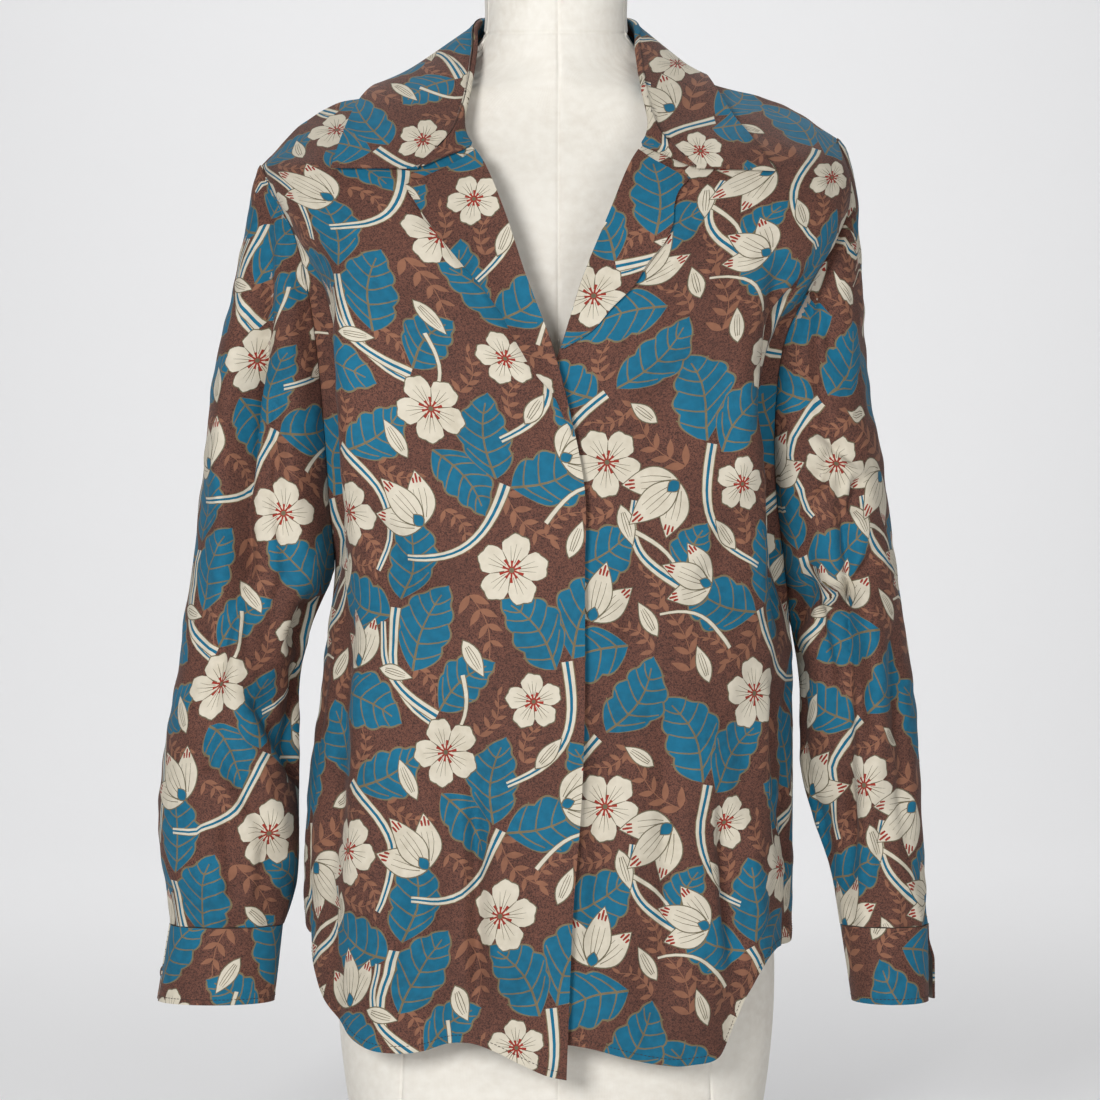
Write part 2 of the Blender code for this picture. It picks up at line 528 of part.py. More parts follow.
def wall(name, points, offsets, material_name, joined_rows=None):
    """A closed wall over a grid of points: each point and its offset inwards.

    Where joined_rows is given, the first and last columns are one seam in the rows that it marks.
    """
    rows, columns = points.shape[:2]
    index = np.arange(rows * columns).reshape(rows, columns)
    if joined_rows is not None:
        index[joined_rows, -1] = index[joined_rows, 0]
    flat, flat_offsets = points.reshape(-1, 3), offsets.reshape(-1, 3)
    _, first, same = np.unique(
        np.round(flat, 6), axis=0, return_index=True, return_inverse=True
    )
    index = first[same.reshape(-1)][index]
    faces = []
    for i in range(rows - 1):
        for j in range(columns - 1):
            ring = [index[i, j], index[i, j + 1], index[i + 1, j + 1], index[i + 1, j]]
            corners = [c for k, c in enumerate(ring) if c != ring[k - 1]]
            if len(corners) > 2:
                faces.append(corners)
    sheet = bmesh.new()
    outer, inner = {}, {}
    for v in sorted({c for corners in faces for c in corners}):
        outer[v] = sheet.verts.new(flat[v])
        inner[v] = sheet.verts.new(flat[v] + flat_offsets[v])
    edges = {}
    for corners in faces:
        sheet.faces.new([outer[c] for c in corners])
        sheet.faces.new([inner[c] for c in reversed(corners)])
        for a, b in zip(corners, corners[1:] + corners[:1]):
            edges[(a, b)] = True
    for a, b in list(edges):
        if (b, a) not in edges:
            sheet.faces.new([outer[b], outer[a], inner[a], inner[b]])
    bmesh.ops.triangulate(sheet, faces=sheet.faces)
    return put(name, sheet, material_name)


def inward(surface, share, level, outwards, thickness=WALL):
    return -normals(surface, share, level) * outwards * thickness


def flattened(offsets, axis):
    """The offsets with no part along an axis, and their length kept."""
    flat = offsets.copy()
    flat[..., axis] = 0
    return flat * WALL / np.maximum(np.linalg.norm(flat, axis=-1, keepdims=True), 1e-9)


def panel_levels(hem, share, rows, armpit):
    """Levels of a panel's rows in each column: from the hem, through the armpit, to the shoulder."""
    hem = np.array(hem)
    foot = smooth(hem[:, 0], hem[:, 1], np.abs(share))
    below = round(rows * 0.5)
    low = np.linspace(0, 1, below + 1)[:, None]
    high = np.linspace(0, 1, rows - below + 1)[1:, None]
    lower = foot[None] + (armpit - foot[None]) * low
    upper = armpit + (SHOULDER_TOP - armpit) * high + 0 * foot[None]
    return np.concatenate([lower, upper])


def make_front(side):
    columns, rows = FRONT_GRID
    share = np.linspace(0, 1, columns + 1)
    hem = RIGHT_HEM if side == "right" else LEFT_HEM
    level = panel_levels(hem, share, rows, ARMPITS[side])
    share = np.broadcast_to(share, level.shape)
    points = front(side, share, level)
    offsets = inward(lambda s, v: front(side, s, v), np.clip(share, 0.004, 0.996),
                     np.minimum(level, SHOULDER_TOP - 0.003), SIDES[side])
    above = level[:, -1] >= ARMPITS[side] - 1e-9
    offsets[~above, -1] = flattened(offsets[~above, -1], 1)
    offsets[above, -1] = flattened(offsets[above, -1], 1)
    offsets[-1, :-1] = flattened(offsets[-1, :-1], 1)
    return wall("front_" + side, points, offsets, "print_cloth")


def make_back():
    columns, rows = BACK_GRID
    half = np.concatenate([np.linspace(0, NECK_SHARE, 4)[:-1],
                           np.linspace(NECK_SHARE, 1, columns - 2)])
    share = np.concatenate([-half[:0:-1], half])
    hem = np.array(BACK_HEM)
    foot = smooth(hem[:, 0], hem[:, 1], np.abs(share))
    armpit = np.where(share < 0, ARMPIT_RIGHT, ARMPIT_LEFT)
    armpit = ARMPIT_RIGHT + (ARMPIT_LEFT - ARMPIT_RIGHT) * rise(share, -0.8, 0.8)
    below = round(rows * 0.5)
    low = np.linspace(0, 1, below + 1)[:, None]
    high = np.linspace(0, 1, rows - below + 1)[1:, None]
    level = np.concatenate([foot + (armpit - foot) * low,
                            armpit + (SHOULDER_TOP - armpit) * high])
    share = np.broadcast_to(share, level.shape)
    points = back(share, level)
    offsets = inward(back, np.clip(share, -0.996, 0.996),
                     np.minimum(level, SHOULDER_TOP - 0.003), -1.0)
    for side, column in (("right", 0), ("left", -1)):
        above = level[:, column] >= ARMPITS[side] - 1e-9
        offsets[~above, column] = flattened(offsets[~above, column], 1)
        offsets[above, column] = flattened(offsets[above, column], 1)
    offsets[-1, 1:-1] = flattened(offsets[-1, 1:-1], 1)
    return wall("back", points, offsets, "print_cloth")


def make_sleeve(side):
    columns, rows = SLEEVE_GRID
    foot = SLEEVES[side]["level"].min()
    share = np.linspace(-1, 1, columns + 1)
    upper = SHOULDER_TOP - (SHOULDER_TOP - ARMPITS[side]) * np.linspace(0, 1, rows // 2 + 1)
    lower = ARMPITS[side] - (ARMPITS[side] - foot) * np.linspace(0, 1, rows - rows // 2 + 1)[1:]
    level = np.concatenate([upper, lower])[:, None] + 0 * share[None]
    share = np.broadcast_to(share, level.shape)
    points = sleeve(side, share, level)
    inner_share = np.clip(share, -0.99, 0.99)
    offsets = inward(lambda s, v: sleeve(side, s, v), inner_share,
                     np.clip(level, foot + 0.003, SHOULDER_TOP - 0.004), SIDES[side])
    joined = level[:, 0] < ARMPITS[side] + 1e-9
    ends = (offsets[:, 0] + offsets[:, -1]) / 2
    ends *= WALL / np.maximum(np.linalg.norm(ends, axis=-1, keepdims=True), 1e-9)
    offsets[joined, 0] = offsets[joined, -1] = ends[joined]
    points[joined, -1] = points[joined, 0]
    tip = armhole(side, level[0, 0], False)
    points[0] = (tip[0] + SIDES[side] * WALL, 0, tip[2])
    offsets[0] = (-SIDES[side] * 0.6 * WALL, 0, -0.8 * WALL)
    inner_x = (points + offsets)[..., 0] * SIDES[side]
    limit = section(FRONTS[side], level)["out_x"] + SEAM_GAP
    short = np.where(level > ARMPITS[side] - 1e-9, np.maximum(limit - inner_x, 0), 0)
    offsets[..., 0] += SIDES[side] * short
    return wall("sleeve_" + side, points, offsets, "print_cloth", joined)


def body_tree():
    """The outer face of the fronts and the back, to lay the collar and the lapels on."""
    verts, faces = [], []
    share = np.linspace(0, 1, 41)
    level = np.linspace(0.50, SHOULDER_TOP, 61)
    grid_share, grid_level = np.meshgrid(share, level)
    sheets = [front(side, grid_share, grid_level) for side in SIDES]
    sheets.append(back(*np.meshgrid(np.linspace(-1, 1, 81), level)))
    for sheet in sheets:
        start = len(verts)
        rows, columns = sheet.shape[:2]
        verts += [Vector(p) for p in sheet.reshape(-1, 3)]
        for i in range(rows - 1):
            for j in range(columns - 1):
                a = start + i * columns + j
                faces.append((a, a + 1, a + columns + 1, a + columns))
    return BVHTree.FromPolygons(verts, faces)


def lifted(points, tree, clearance, inside=False, centre=Vector((0, 0, 0.62))):
    """Points moved until each is that far outside the panels, or inside them."""
    moved = []
    for point in points.reshape(-1, 3):
        point = Vector(point)
        near, normal, _, _ = tree.find_nearest(point)
        if normal.dot(near - centre) < 0:
            normal = -normal
        if inside:
            normal = -normal
        height = (point - near).dot(normal)
        beside = (point - near - normal * height).length
        if height < clearance and beside < 0.004:
            point = near + normal * clearance
        moved.append(point)
    return np.array(moved).reshape(points.shape)


def laid(points, tree, clearance):
    """Points moved towards -Y until each is that far in front of the panels."""
    moved = []
    for point in points.reshape(-1, 3):
        hit = tree.ray_cast(Vector((point[0], -0.5, point[2])), Vector((0, 1, 0)))[0]
        if hit is not None and hit.y < 0:
            point = np.array((point[0], min(point[1], hit.y - clearance), point[2]))
        moved.append(point)
    return np.array(moved).reshape(points.shape)


def share_of(side, x, level):
    """The share of the way round a front at which it is that far from the middle."""
    row = section(FRONTS[side], level)
    across = np.clip((x - row["in_x"]) / (row["out_x"] - row["in_x"]), 0, 1)
    along = (1 - across ** row["round"]) ** (1 / row["round"])
    return np.arctan2(across, along) * 2 / math.pi


def make_lapel(side):
    """The turned-back front edge, laid on the points of its own front."""
    columns, rows = LAPEL_GRID
    edge = table(LAPEL_COLUMNS, RIGHT_LAPEL if side == "right" else LEFT_LAPEL)
    foot, tip = edge["level"][0], edge["level"][-1]
    across = np.linspace(0, 1, columns + 1)[None]
    up = np.linspace(0, 1, rows + 1)[:, None]
    edge_level = foot + (tip - foot) * up
    neck_level = foot + (LAPEL_NECK_LEVEL - foot) * up
    level = neck_level + (edge_level - neck_level) * across
    in_x = section(FRONTS[side], neck_level)["in_x"] + 0.0004
    edge_x = np.maximum(smooth(edge["level"], edge["edge_x"], edge_level), in_x + 0.002)
    share = share_of(side, in_x + (edge_x - in_x) * across, level)
    base = front(side, share, level)
    out = normals(lambda s, v: front(side, s, v), np.maximum(share, 0.003), level) * SIDES[side]
    roll = 0.0022 * np.exp(-((across / 0.18) ** 2)) * rise(up, 0, 0.25)
    stand = LAPEL_STAND[side] * across**1.5 * rise(up, 0, 0.25) * rise(up, 1.0, 0.8)
    top = base + out * (LAYER_GAP + WALL + roll + stand)[..., None]
    return wall("lapel_" + side, top, -out * (WALL + 0.6 * roll)[..., None], "print_cloth")


def collar_stations():
    """The collar's neckline, fold and free edge, from its right end round to its left end."""
    rows = table(COLLAR_COLUMNS, COLLAR)
    steps = len(COLLAR) - 1
    at = np.linspace(0, steps, steps * COLLAR_STEPS + 1)
    knots = np.arange(steps + 1.0)

    def half(x, y, z):
        return np.stack([smooth(knots, np.array(c, float), at) for c in (x, y, z)], -1)

    def neckline(side):
        level = np.interp(at, knots, rows["neck_level"])
        share = np.interp(at, knots, rows["neck_share"]) * NECK_SHARE
        before = front(side, np.zeros_like(at), level)
        behind = back(share * SIDES[side], np.full_like(at, SHOULDER_TOP))
        return np.where((at < 5)[:, None], before, behind)

    fold = half(rows["r_x"], rows["r_y"], rows["r_z"])
    mirror = np.array([-1, 1, 1])

    def both(right, left):
        return np.concatenate([right, left[-2::-1]])

    return (
        both(neckline("right"), neckline("left")),
        both(fold * mirror, fold),
        both(half(*np.array(COLLAR_EDGE_RIGHT).T) * mirror, half(*np.array(COLLAR_EDGE_LEFT).T)),
    )


def make_collar(tree):
    """The collar: up from the neckline, over the fold and down to the free edge."""
    seam, fold, edge = collar_stations()
    fall = edge - fold
    outwards = fall - fall * np.array([0, 0, 1])
    outwards /= np.linalg.norm(outwards, axis=-1, keepdims=True)
    up = np.array([0, 0, 1.0])
    ends = np.minimum(np.arange(len(fold)), np.arange(len(fold))[::-1])[:, None] / COLLAR_STEPS
    grown = np.clip(ends, 0, 1)
    radius = COLLAR_FOLD_RADIUS * (0.65 + 0.35 * grown)
    near_end = ends[:, 0] < 1.99
    fold[near_end] = laid(fold[near_end], tree, COLLAR_SLANT * COLLAR_CLEARANCE)
    arc = []
    for share in (0, 1 / 3, 2 / 3, 1):
        turn = np.radians((60 + 120 * grown) * (1 - share))
        arc.append(fold + radius * (np.cos(turn) * outwards + np.sin(turn) * up))
    rooted = seam - outwards * 3 * SEAM_GAP + up * 4 * SEAM_GAP
    profile = [grown * rooted + (1 - grown) * (arc[0] - 0.004 * outwards)] + arc
    start = profile[-1]
    for share in (0.25, 0.5, 0.75, 1.0):
        bow = 0.006 * math.sin(math.pi * share) * outwards * np.clip(ends, 0, 1)
        profile.append(start + (edge - start) * share + bow)
    points = np.stack(profile, 1)
    points[near_end, 5:] = laid(points[near_end, 5:], tree, COLLAR_SLANT * COLLAR_CLEARANCE)
    for i in np.flatnonzero(near_end):
        flat = 1 - grown[i, 0]
        points[i, :2] = laid(points[i, :2], tree, COLLAR_SLANT * COLLAR_CLEARANCE * flat)
    points[:, 5:] = lifted(points[:, 5:], tree, COLLAR_CLEARANCE)
    along = np.gradient(points, axis=0)
    across = np.gradient(points, axis=1)
    out = np.cross(across, along)
    out /= np.linalg.norm(out, axis=-1, keepdims=True)
    return wall("collar", points, -out * COLLAR_WALL, "print_cloth")


def make_fly():
    """The buttonhole strip behind the edge of the right front, with its foot along the hem."""
    hem = np.array(RIGHT_HEM)
    inset = np.linspace(0.006, 0.006 + FLY_WIDTH / 0.25, 4)
    foot = smooth(hem[:, 0], hem[:, 1], inset) + FLY_FOOT_ABOVE_HEM
    level = foot + (FLY_TOP - foot) * np.linspace(0, 1, 19)[:, None]
    share = np.broadcast_to(inset, level.shape)
    out = normals(lambda s, v: front("right", s, v), share + 0.003, level) * SIDES["right"]
    points = front("right", share, level) - out * (WALL + 1.5 * SEAM_GAP)
    return wall("fly_strip", points, -out * FLY_WALL, "print_cloth")


def disc(name, centre, axis, radius, thickness, material_name):
    """A flat round button on a centre, with its back face there."""
    made = bmesh.new()
    bmesh.ops.create_cone(made, cap_ends=True, segments=BUTTON_SIDES,
                          radius1=radius, radius2=radius, depth=thickness)
    turn = Vector(axis).to_track_quat("Z", "Y").to_matrix().to_4x4()
    bmesh.ops.transform(made, matrix=turn, verts=made.verts)
    middle = Vector(centre) + Vector(axis) * thickness / 2
    bmesh.ops.translate(made, vec=middle, verts=made.verts)
    return put(name, made, material_name)


def make_fly_buttons():
    for number, height in enumerate(BUTTON_HEIGHTS, 1):
        level = np.array([height])
        share = np.array([0.043])
        surface = front("left", share, level)[0]
        out = normals(lambda s, v: front("left", s, v), share, level)[0]
        disc(f"fly_button_{number}", surface + out * 2 * SEAM_GAP, out,
             BUTTON_RADIUS, BUTTON_THICKNESS, "button_brown")


def cuff_point(side, rows, angle, z):
    """A point of a cuff at an angle from its outermost line, positive towards the back."""
    row = {name: smooth(rows["z"][::-1], values[::-1], z) for name, values in rows.items()}
    middle_x, half = (row["outer"] + row["inner"]) / 2, (row["outer"] - row["inner"]) / 2
    depth = np.where(np.sin(angle) < 0, row["front"], row["back"])
    return np.stack([SIDES[side] * (middle_x + half * np.cos(angle)),
                     row["middle_y"] + depth * np.sin(angle), z], -1)


def make_cuff(side):
    """A band whose button end laps over the other end behind the outermost line."""
    rows = table(CUFF_COLUMNS, RIGHT_CUFF if side == "right" else LEFT_CUFF)
    start = math.radians(CUFF_OPENING_DEGREES)
    lap = math.radians(CUFF_LAP_DEGREES)
    turn = np.linspace(0, 2 * math.pi + lap, CUFF_SIDES + 3)
    heights = np.linspace(rows["z"][0] - SEAM_GAP, rows["z"][-1], 4)
    angle, z = np.meshgrid(start - turn, heights)
    points = cuff_point(side, rows, angle, z)
    step = 0.01
    across = cuff_point(side, rows, angle + step, z) - cuff_point(side, rows, angle - step, z)
    out = np.stack([across[..., 1], -across[..., 0], 0 * z], -1) * SIDES[side]
    out /= np.linalg.norm(out, axis=-1, keepdims=True)
    lift = CUFF_LAP_LIFT * rise(turn, 2 * math.pi - 0.5, 2 * math.pi - 0.02)
    if side == "left":
        low = rise(heights, rows["z"][0] - 0.01, (rows["z"][0] + rows["z"][-1]) / 2)[:, None]
        lift = lift + CUFF_FLARE * low * rise(turn, 2 * math.pi, 2 * math.pi + lap)
    points = points + out * (lift + 0 * z)[..., None]
    made = wall("cuff_" + side, points, -out * CUFF_WALL, "print_cloth")
    at = len(turn) - 2
    disc("cuff_button_" + side, points[2, at] + out[2, at] * 4 * SEAM_GAP, out[2, at],
         BUTTON_RADIUS, BUTTON_THICKNESS, "button_brown")
    return made


def make_form(tree):
    """The covered torso and neck, one closed solid with flat ends."""
    rows = table(FORM_COLUMNS, FORM)
    made = bmesh.new()
    rings = []
    angles = np.arange(FORM_SIDES) * 2 * math.pi / FORM_SIDES
    (bust_x, bust_z), spread, height = BUST
    for z, half, front_depth, back_depth, exponent in zip(*(rows[c] for c in FORM_COLUMNS)):
        size = (np.abs(np.sin(angles)) ** exponent + np.abs(np.cos(angles)) ** exponent)
        x = half * np.sin(angles) / size ** (1 / exponent)
        y = -np.cos(angles) / size ** (1 / exponent)
        y = np.where(y < 0, y * front_depth, y * back_depth)
        bust = height * np.exp(-((np.abs(x) - bust_x) ** 2 + (z - bust_z) ** 2) / spread**2)
        y = np.where(y < 0, y - bust * rise(-y, 0.02, 0.08), y)
        ring = np.stack([x, y, np.full_like(x, z)], -1)
        if 0.70 < z < 0.84:
            ring = lifted(ring, tree, WALL + FORM_CLEARANCE, inside=True)
        rings.append([made.verts.new(point) for point in ring])
    edges = []
    for ring in rings:
        edges.append([made.edges.new((ring[i - 1], ring[i])) for i in range(FORM_SIDES)])
    for low, high in zip(edges, edges[1:]):
        bmesh.ops.bridge_loops(made, edges=low + high)
    made.faces.new(rings[0])
    made.faces.new(rings[-1])
    bmesh.ops.triangulate(made, faces=made.faces)
    return put("dress_form", made, "linen_cover")


def build():
    for old in list(bpy.data.objects):
        bpy.data.objects.remove(old)
    tree = body_tree()
    make_form(tree)
    for side in SIDES:
        make_front(side)
        make_sleeve(side)
        make_cuff(side)
        make_lapel(side)
    make_back()
    make_collar(tree)
    make_fly()
    make_fly_buttons()


build()
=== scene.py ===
"""A printed long-sleeved blouse on a linen-covered dress form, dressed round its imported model.

Metres, +Z up. The blouse faces -Y and its wearer's right is on -X. The origin is the centre of the
form's flat base.
"""

import math

import bmesh
import bpy
import numpy as np
from mathutils import Matrix, Vector
from mathutils.bvhtree import BVHTree
from mathutils.geometry import delaunay_2d_cdt


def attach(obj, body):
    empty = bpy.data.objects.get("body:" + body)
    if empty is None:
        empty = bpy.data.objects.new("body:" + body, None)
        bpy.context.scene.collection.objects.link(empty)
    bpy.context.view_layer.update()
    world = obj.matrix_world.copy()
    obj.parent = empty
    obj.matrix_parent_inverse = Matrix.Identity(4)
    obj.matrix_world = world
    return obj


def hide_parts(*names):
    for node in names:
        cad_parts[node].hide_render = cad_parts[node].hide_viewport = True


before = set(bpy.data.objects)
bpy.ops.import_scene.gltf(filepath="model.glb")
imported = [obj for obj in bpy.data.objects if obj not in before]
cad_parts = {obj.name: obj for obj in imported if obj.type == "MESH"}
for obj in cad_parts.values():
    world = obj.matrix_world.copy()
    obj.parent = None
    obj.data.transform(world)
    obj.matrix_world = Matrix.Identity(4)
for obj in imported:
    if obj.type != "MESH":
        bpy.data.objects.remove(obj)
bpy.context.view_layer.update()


# DRESS FORM
# A padded torso and neck under a tight cover of white linen, with a flat base and no arms. The cover
# is sewn from panels, so seams run down its middle, over each side of the bust and round its neck.
FORM_COLUMNS = ("z", "half_width", "front", "back", "round")
FORM = (
    (0.000, 0.1500, 0.0950, 0.1080, 2.3),
    (0.050, 0.1590, 0.1000, 0.1140, 2.3),
    (0.110, 0.1650, 0.1040, 0.1190, 2.3),
    (0.180, 0.1640, 0.1050, 0.1190, 2.3),
    (0.250, 0.1540, 0.1010, 0.1110, 2.3),
    (0.320, 0.1330, 0.0930, 0.0940, 2.3),
    (0.384, 0.1190, 0.0880, 0.0800, 2.3),
    (0.440, 0.1240, 0.0960, 0.0820, 2.3),
    (0.500, 0.1360, 0.1080, 0.0900, 2.3),
    (0.560, 0.1440, 0.1130, 0.0970, 2.4),
    (0.610, 0.1490, 0.1060, 0.1020, 2.4),
    (0.660, 0.1560, 0.0940, 0.1040, 2.4),
    (0.705, 0.1680, 0.0800, 0.0990, 2.4),
    (0.740, 0.1740, 0.0660, 0.0870, 2.3),
    (0.765, 0.1690, 0.0560, 0.0720, 2.2),
    (0.785, 0.1540, 0.0500, 0.0610, 1.9),
    (0.800, 0.1320, 0.0480, 0.0590, 1.5),
    (0.811, 0.1080, 0.0480, 0.0540, 1.2),
    (0.821, 0.0810, 0.0480, 0.0515, 1.2),
    (0.830, 0.0650, 0.0480, 0.0500, 1.4),
    (0.840, 0.0570, 0.0485, 0.0500, 1.8),
    (0.852, 0.0545, 0.0490, 0.0505, 2.0),
    (0.875, 0.0542, 0.0500, 0.0510, 2.0),
    (0.912, 0.0558, 0.0520, 0.0530, 2.0),
)
BUST = ((0.078, 0.548), 0.052, 0.016)   # place on the front, spread and height of each side
FORM_CLEARANCE = 0.0033   # of the form's shoulders inside the cloth
FORM_SIDES, FORM_ROWS = 160, 230
FORM_SEAM = (0.0011, 0.0012)          # depth and half width of a seam's groove
MIDDLE_SEAM_X = 0.0015
PRINCESS_SEAMS = ((0.000, 0.112), (0.180, 0.104), (0.384, 0.070), (0.560, 0.082), (0.740, 0.098),
                  (0.912, 0.110))     # height, distance from the middle
NECK_SEAM = (0.8545, 0.0120)          # its height at the back, and how far it dips in front
LINEN = "#EBE7DE"
LINEN_SHADE = "#DFD9CE"
LINEN_THREAD = 0.0009                 # coarser than the real 0.5 mm, so that it shows
THREAD_WAVE = 0.31831                 # the scale at which a wave texture's bands lie one unit apart
FORM_SHOULDERS = (0.70, 0.84)         # the heights between which the form is kept inside the cloth
BODY_MIDDLE = Vector((0, 0, 0.62))    # the cloth's outside faces away from it
CLEARING_REACH = 0.004                # sideways, within which a point counts as right over the cloth


def table(columns, rows):
    """The rows as a dict of arrays, one for each named column."""
    values = np.array(rows, float)
    return {name: values[:, i] for i, name in enumerate(columns)}


def smooth(knots, values, at):
    """A smooth curve through the values at rising knots."""
    at = np.clip(at, knots[0], knots[-1])
    slopes = np.gradient(values, knots)
    i = np.clip(np.searchsorted(knots, at) - 1, 0, len(knots) - 2)
    width = knots[i + 1] - knots[i]
    s = (at - knots[i]) / width
    return (
        values[i] * (1 + 2 * s) * (1 - s) ** 2
        + slopes[i] * width * s * (1 - s) ** 2
        + values[i + 1] * s * s * (3 - 2 * s)
        + slopes[i + 1] * width * s * s * (s - 1)
    )


def rise(value, start, end):
    """0 before start and 1 after end, with a smooth step between."""
    t = np.clip((value - start) / (end - start), 0, 1)
    return t * t * (3 - 2 * t)


FORM_TABLE = table(FORM_COLUMNS, FORM)
CURVES = {}


def section(rows, at, by="level"):
    """Each column of a table at the given levels, read off its smooth curves at close even steps."""
    if id(rows) not in CURVES:
        order = np.argsort(rows[by])
        knots = rows[by][order]
        steps = np.linspace(knots[0], knots[-1], 2400)
        CURVES[id(rows)] = steps, {
            name: smooth(knots, values[order], steps) for name, values in rows.items()}
    steps, curves = CURVES[id(rows)]
    return {name: np.interp(at, steps, curve) for name, curve in curves.items()}


def linear(colour):
    """An sRGB hex colour as linear RGBA."""
    values = [int(colour[i:i + 2], 16) / 255 for i in (1, 3, 5)]
    return (*[v / 12.92 if v <= 0.04045 else ((v + 0.055) / 1.055) ** 2.4 for v in values], 1)


def add(tree, kind, inputs, **settings):
    """A node with its settings, its input values and its links from other nodes' outputs."""
    node = tree.nodes.new(kind)
    for name, value in settings.items():
        setattr(node, name, value)
    for socket, value in inputs.items():
        if isinstance(value, bpy.types.NodeSocket):
            tree.links.new(value, node.inputs[socket])
        else:
            node.inputs[socket].default_value = value
    return node


def material(name, inputs):
    """A new material with its node tree and its shader, whose inputs are set."""
    made = bpy.data.materials.new(name)
    made.use_nodes = True
    shader = made.node_tree.nodes["Principled BSDF"]
    for socket, value in inputs.items():
        shader.inputs[socket].default_value = value
    return made, made.node_tree, shader


def woven(name, colour, shade, thread, roughness, sheen, slub, hatch=None):
    """A plain-woven cloth on its UV map: threads that go over and under, thicker here and there.

    hatch is the colour and the noise scale of fine short strokes printed all over it.
    """
    made, tree, shader = material(name, {"Roughness": roughness, "Sheen Weight": sheen,
                                         "Sheen Roughness": 0.5, "Specular IOR Level": 0.3})
    place = add(tree, "ShaderNodeUVMap", {}, uv_map="cloth").outputs["UV"]
    threads = []
    for direction in ("X", "Y"):
        wave = add(tree, "ShaderNodeTexWave", {"Vector": place, "Scale": THREAD_WAVE / thread},
                   bands_direction=direction)
        threads.append(wave.outputs["Fac"])
    weave = add(tree, "ShaderNodeMath", {0: threads[0], 1: threads[1]}, operation="MULTIPLY")
    uneven = add(tree, "ShaderNodeTexNoise", {"Vector": place, "Scale": 0.12 / thread, "Detail": 3.0})
    wash = add(tree, "ShaderNodeTexNoise", {"Vector": place, "Scale": 14.0, "Detail": 2.0})
    height = add(tree, "ShaderNodeMath", {0: uneven.outputs["Fac"], 1: slub, 2: weave.outputs[0]},
                 operation="MULTIPLY_ADD")
    amount = add(tree, "ShaderNodeMath", {0: uneven.outputs["Fac"], 1: wash.outputs["Fac"]},
                 operation="MULTIPLY")
    amount = add(tree, "ShaderNodeMapRange",
                 {"Value": amount.outputs[0], "From Min": 0.12, "From Max": 0.42})
    ink = add(tree, "ShaderNodeMix", {0: amount.outputs[0], 6: linear(colour), 7: linear(shade)},
              data_type="RGBA")
    if hatch:
        dark, scale = hatch
        strokes = add(tree, "ShaderNodeTexNoise",
                      {"Vector": place, "Scale": scale, "Detail": 1.0, "Distortion": 1.2})
        strokes = add(tree, "ShaderNodeMapRange", {"Value": strokes.outputs["Fac"],
                                                   "From Min": 0.48, "From Max": 0.58, "To Max": 0.82})
        ink = add(tree, "ShaderNodeMix", {0: strokes.outputs[0], 6: ink.outputs[2], 7: linear(dark)},
                  data_type="RGBA")
    bump = add(tree, "ShaderNodeBump", {"Height": height.outputs[0], "Strength": 0.35,
                                        "Distance": 0.3 * thread})
    tree.links.new(ink.outputs[2], shader.inputs["Base Color"])
    tree.links.new(bump.outputs["Normal"], shader.inputs["Normal"])
    return made


def kept_off(points, tree, clearance, side):
    """Points moved until each is that far from the cloth: side is 1 for outside it, -1 for inside."""
    moved = []
    for point in points.reshape(-1, 3):
        point = Vector(point)
        near, normal, _, _ = tree.find_nearest(point)
        if side * normal.dot(near - BODY_MIDDLE) < 0:
            normal = -normal
        height = (point - near).dot(normal)
        if height < clearance and (point - near - normal * height).length < CLEARING_REACH:
            point = near + normal * clearance
        moved.append(point)
    return np.array(moved).reshape(points.shape)


def form_seams(height):
    """The angles of the cover's six seams at each height, from the front one round to the left."""
    row = section(FORM_TABLE, height, "z")
    over = np.interp(height, *np.array(PRINCESS_SEAMS).T) / row["half_width"]
    side = np.arcsin(np.clip(over, 0, 0.95))
    front_middle = np.arcsin(MIDDLE_SEAM_X / row["half_width"])
    return np.stack([front_middle, side, math.pi - side, math.pi + 0 * side, math.pi + side,
                     2 * math.pi - side, 2 * math.pi + front_middle])


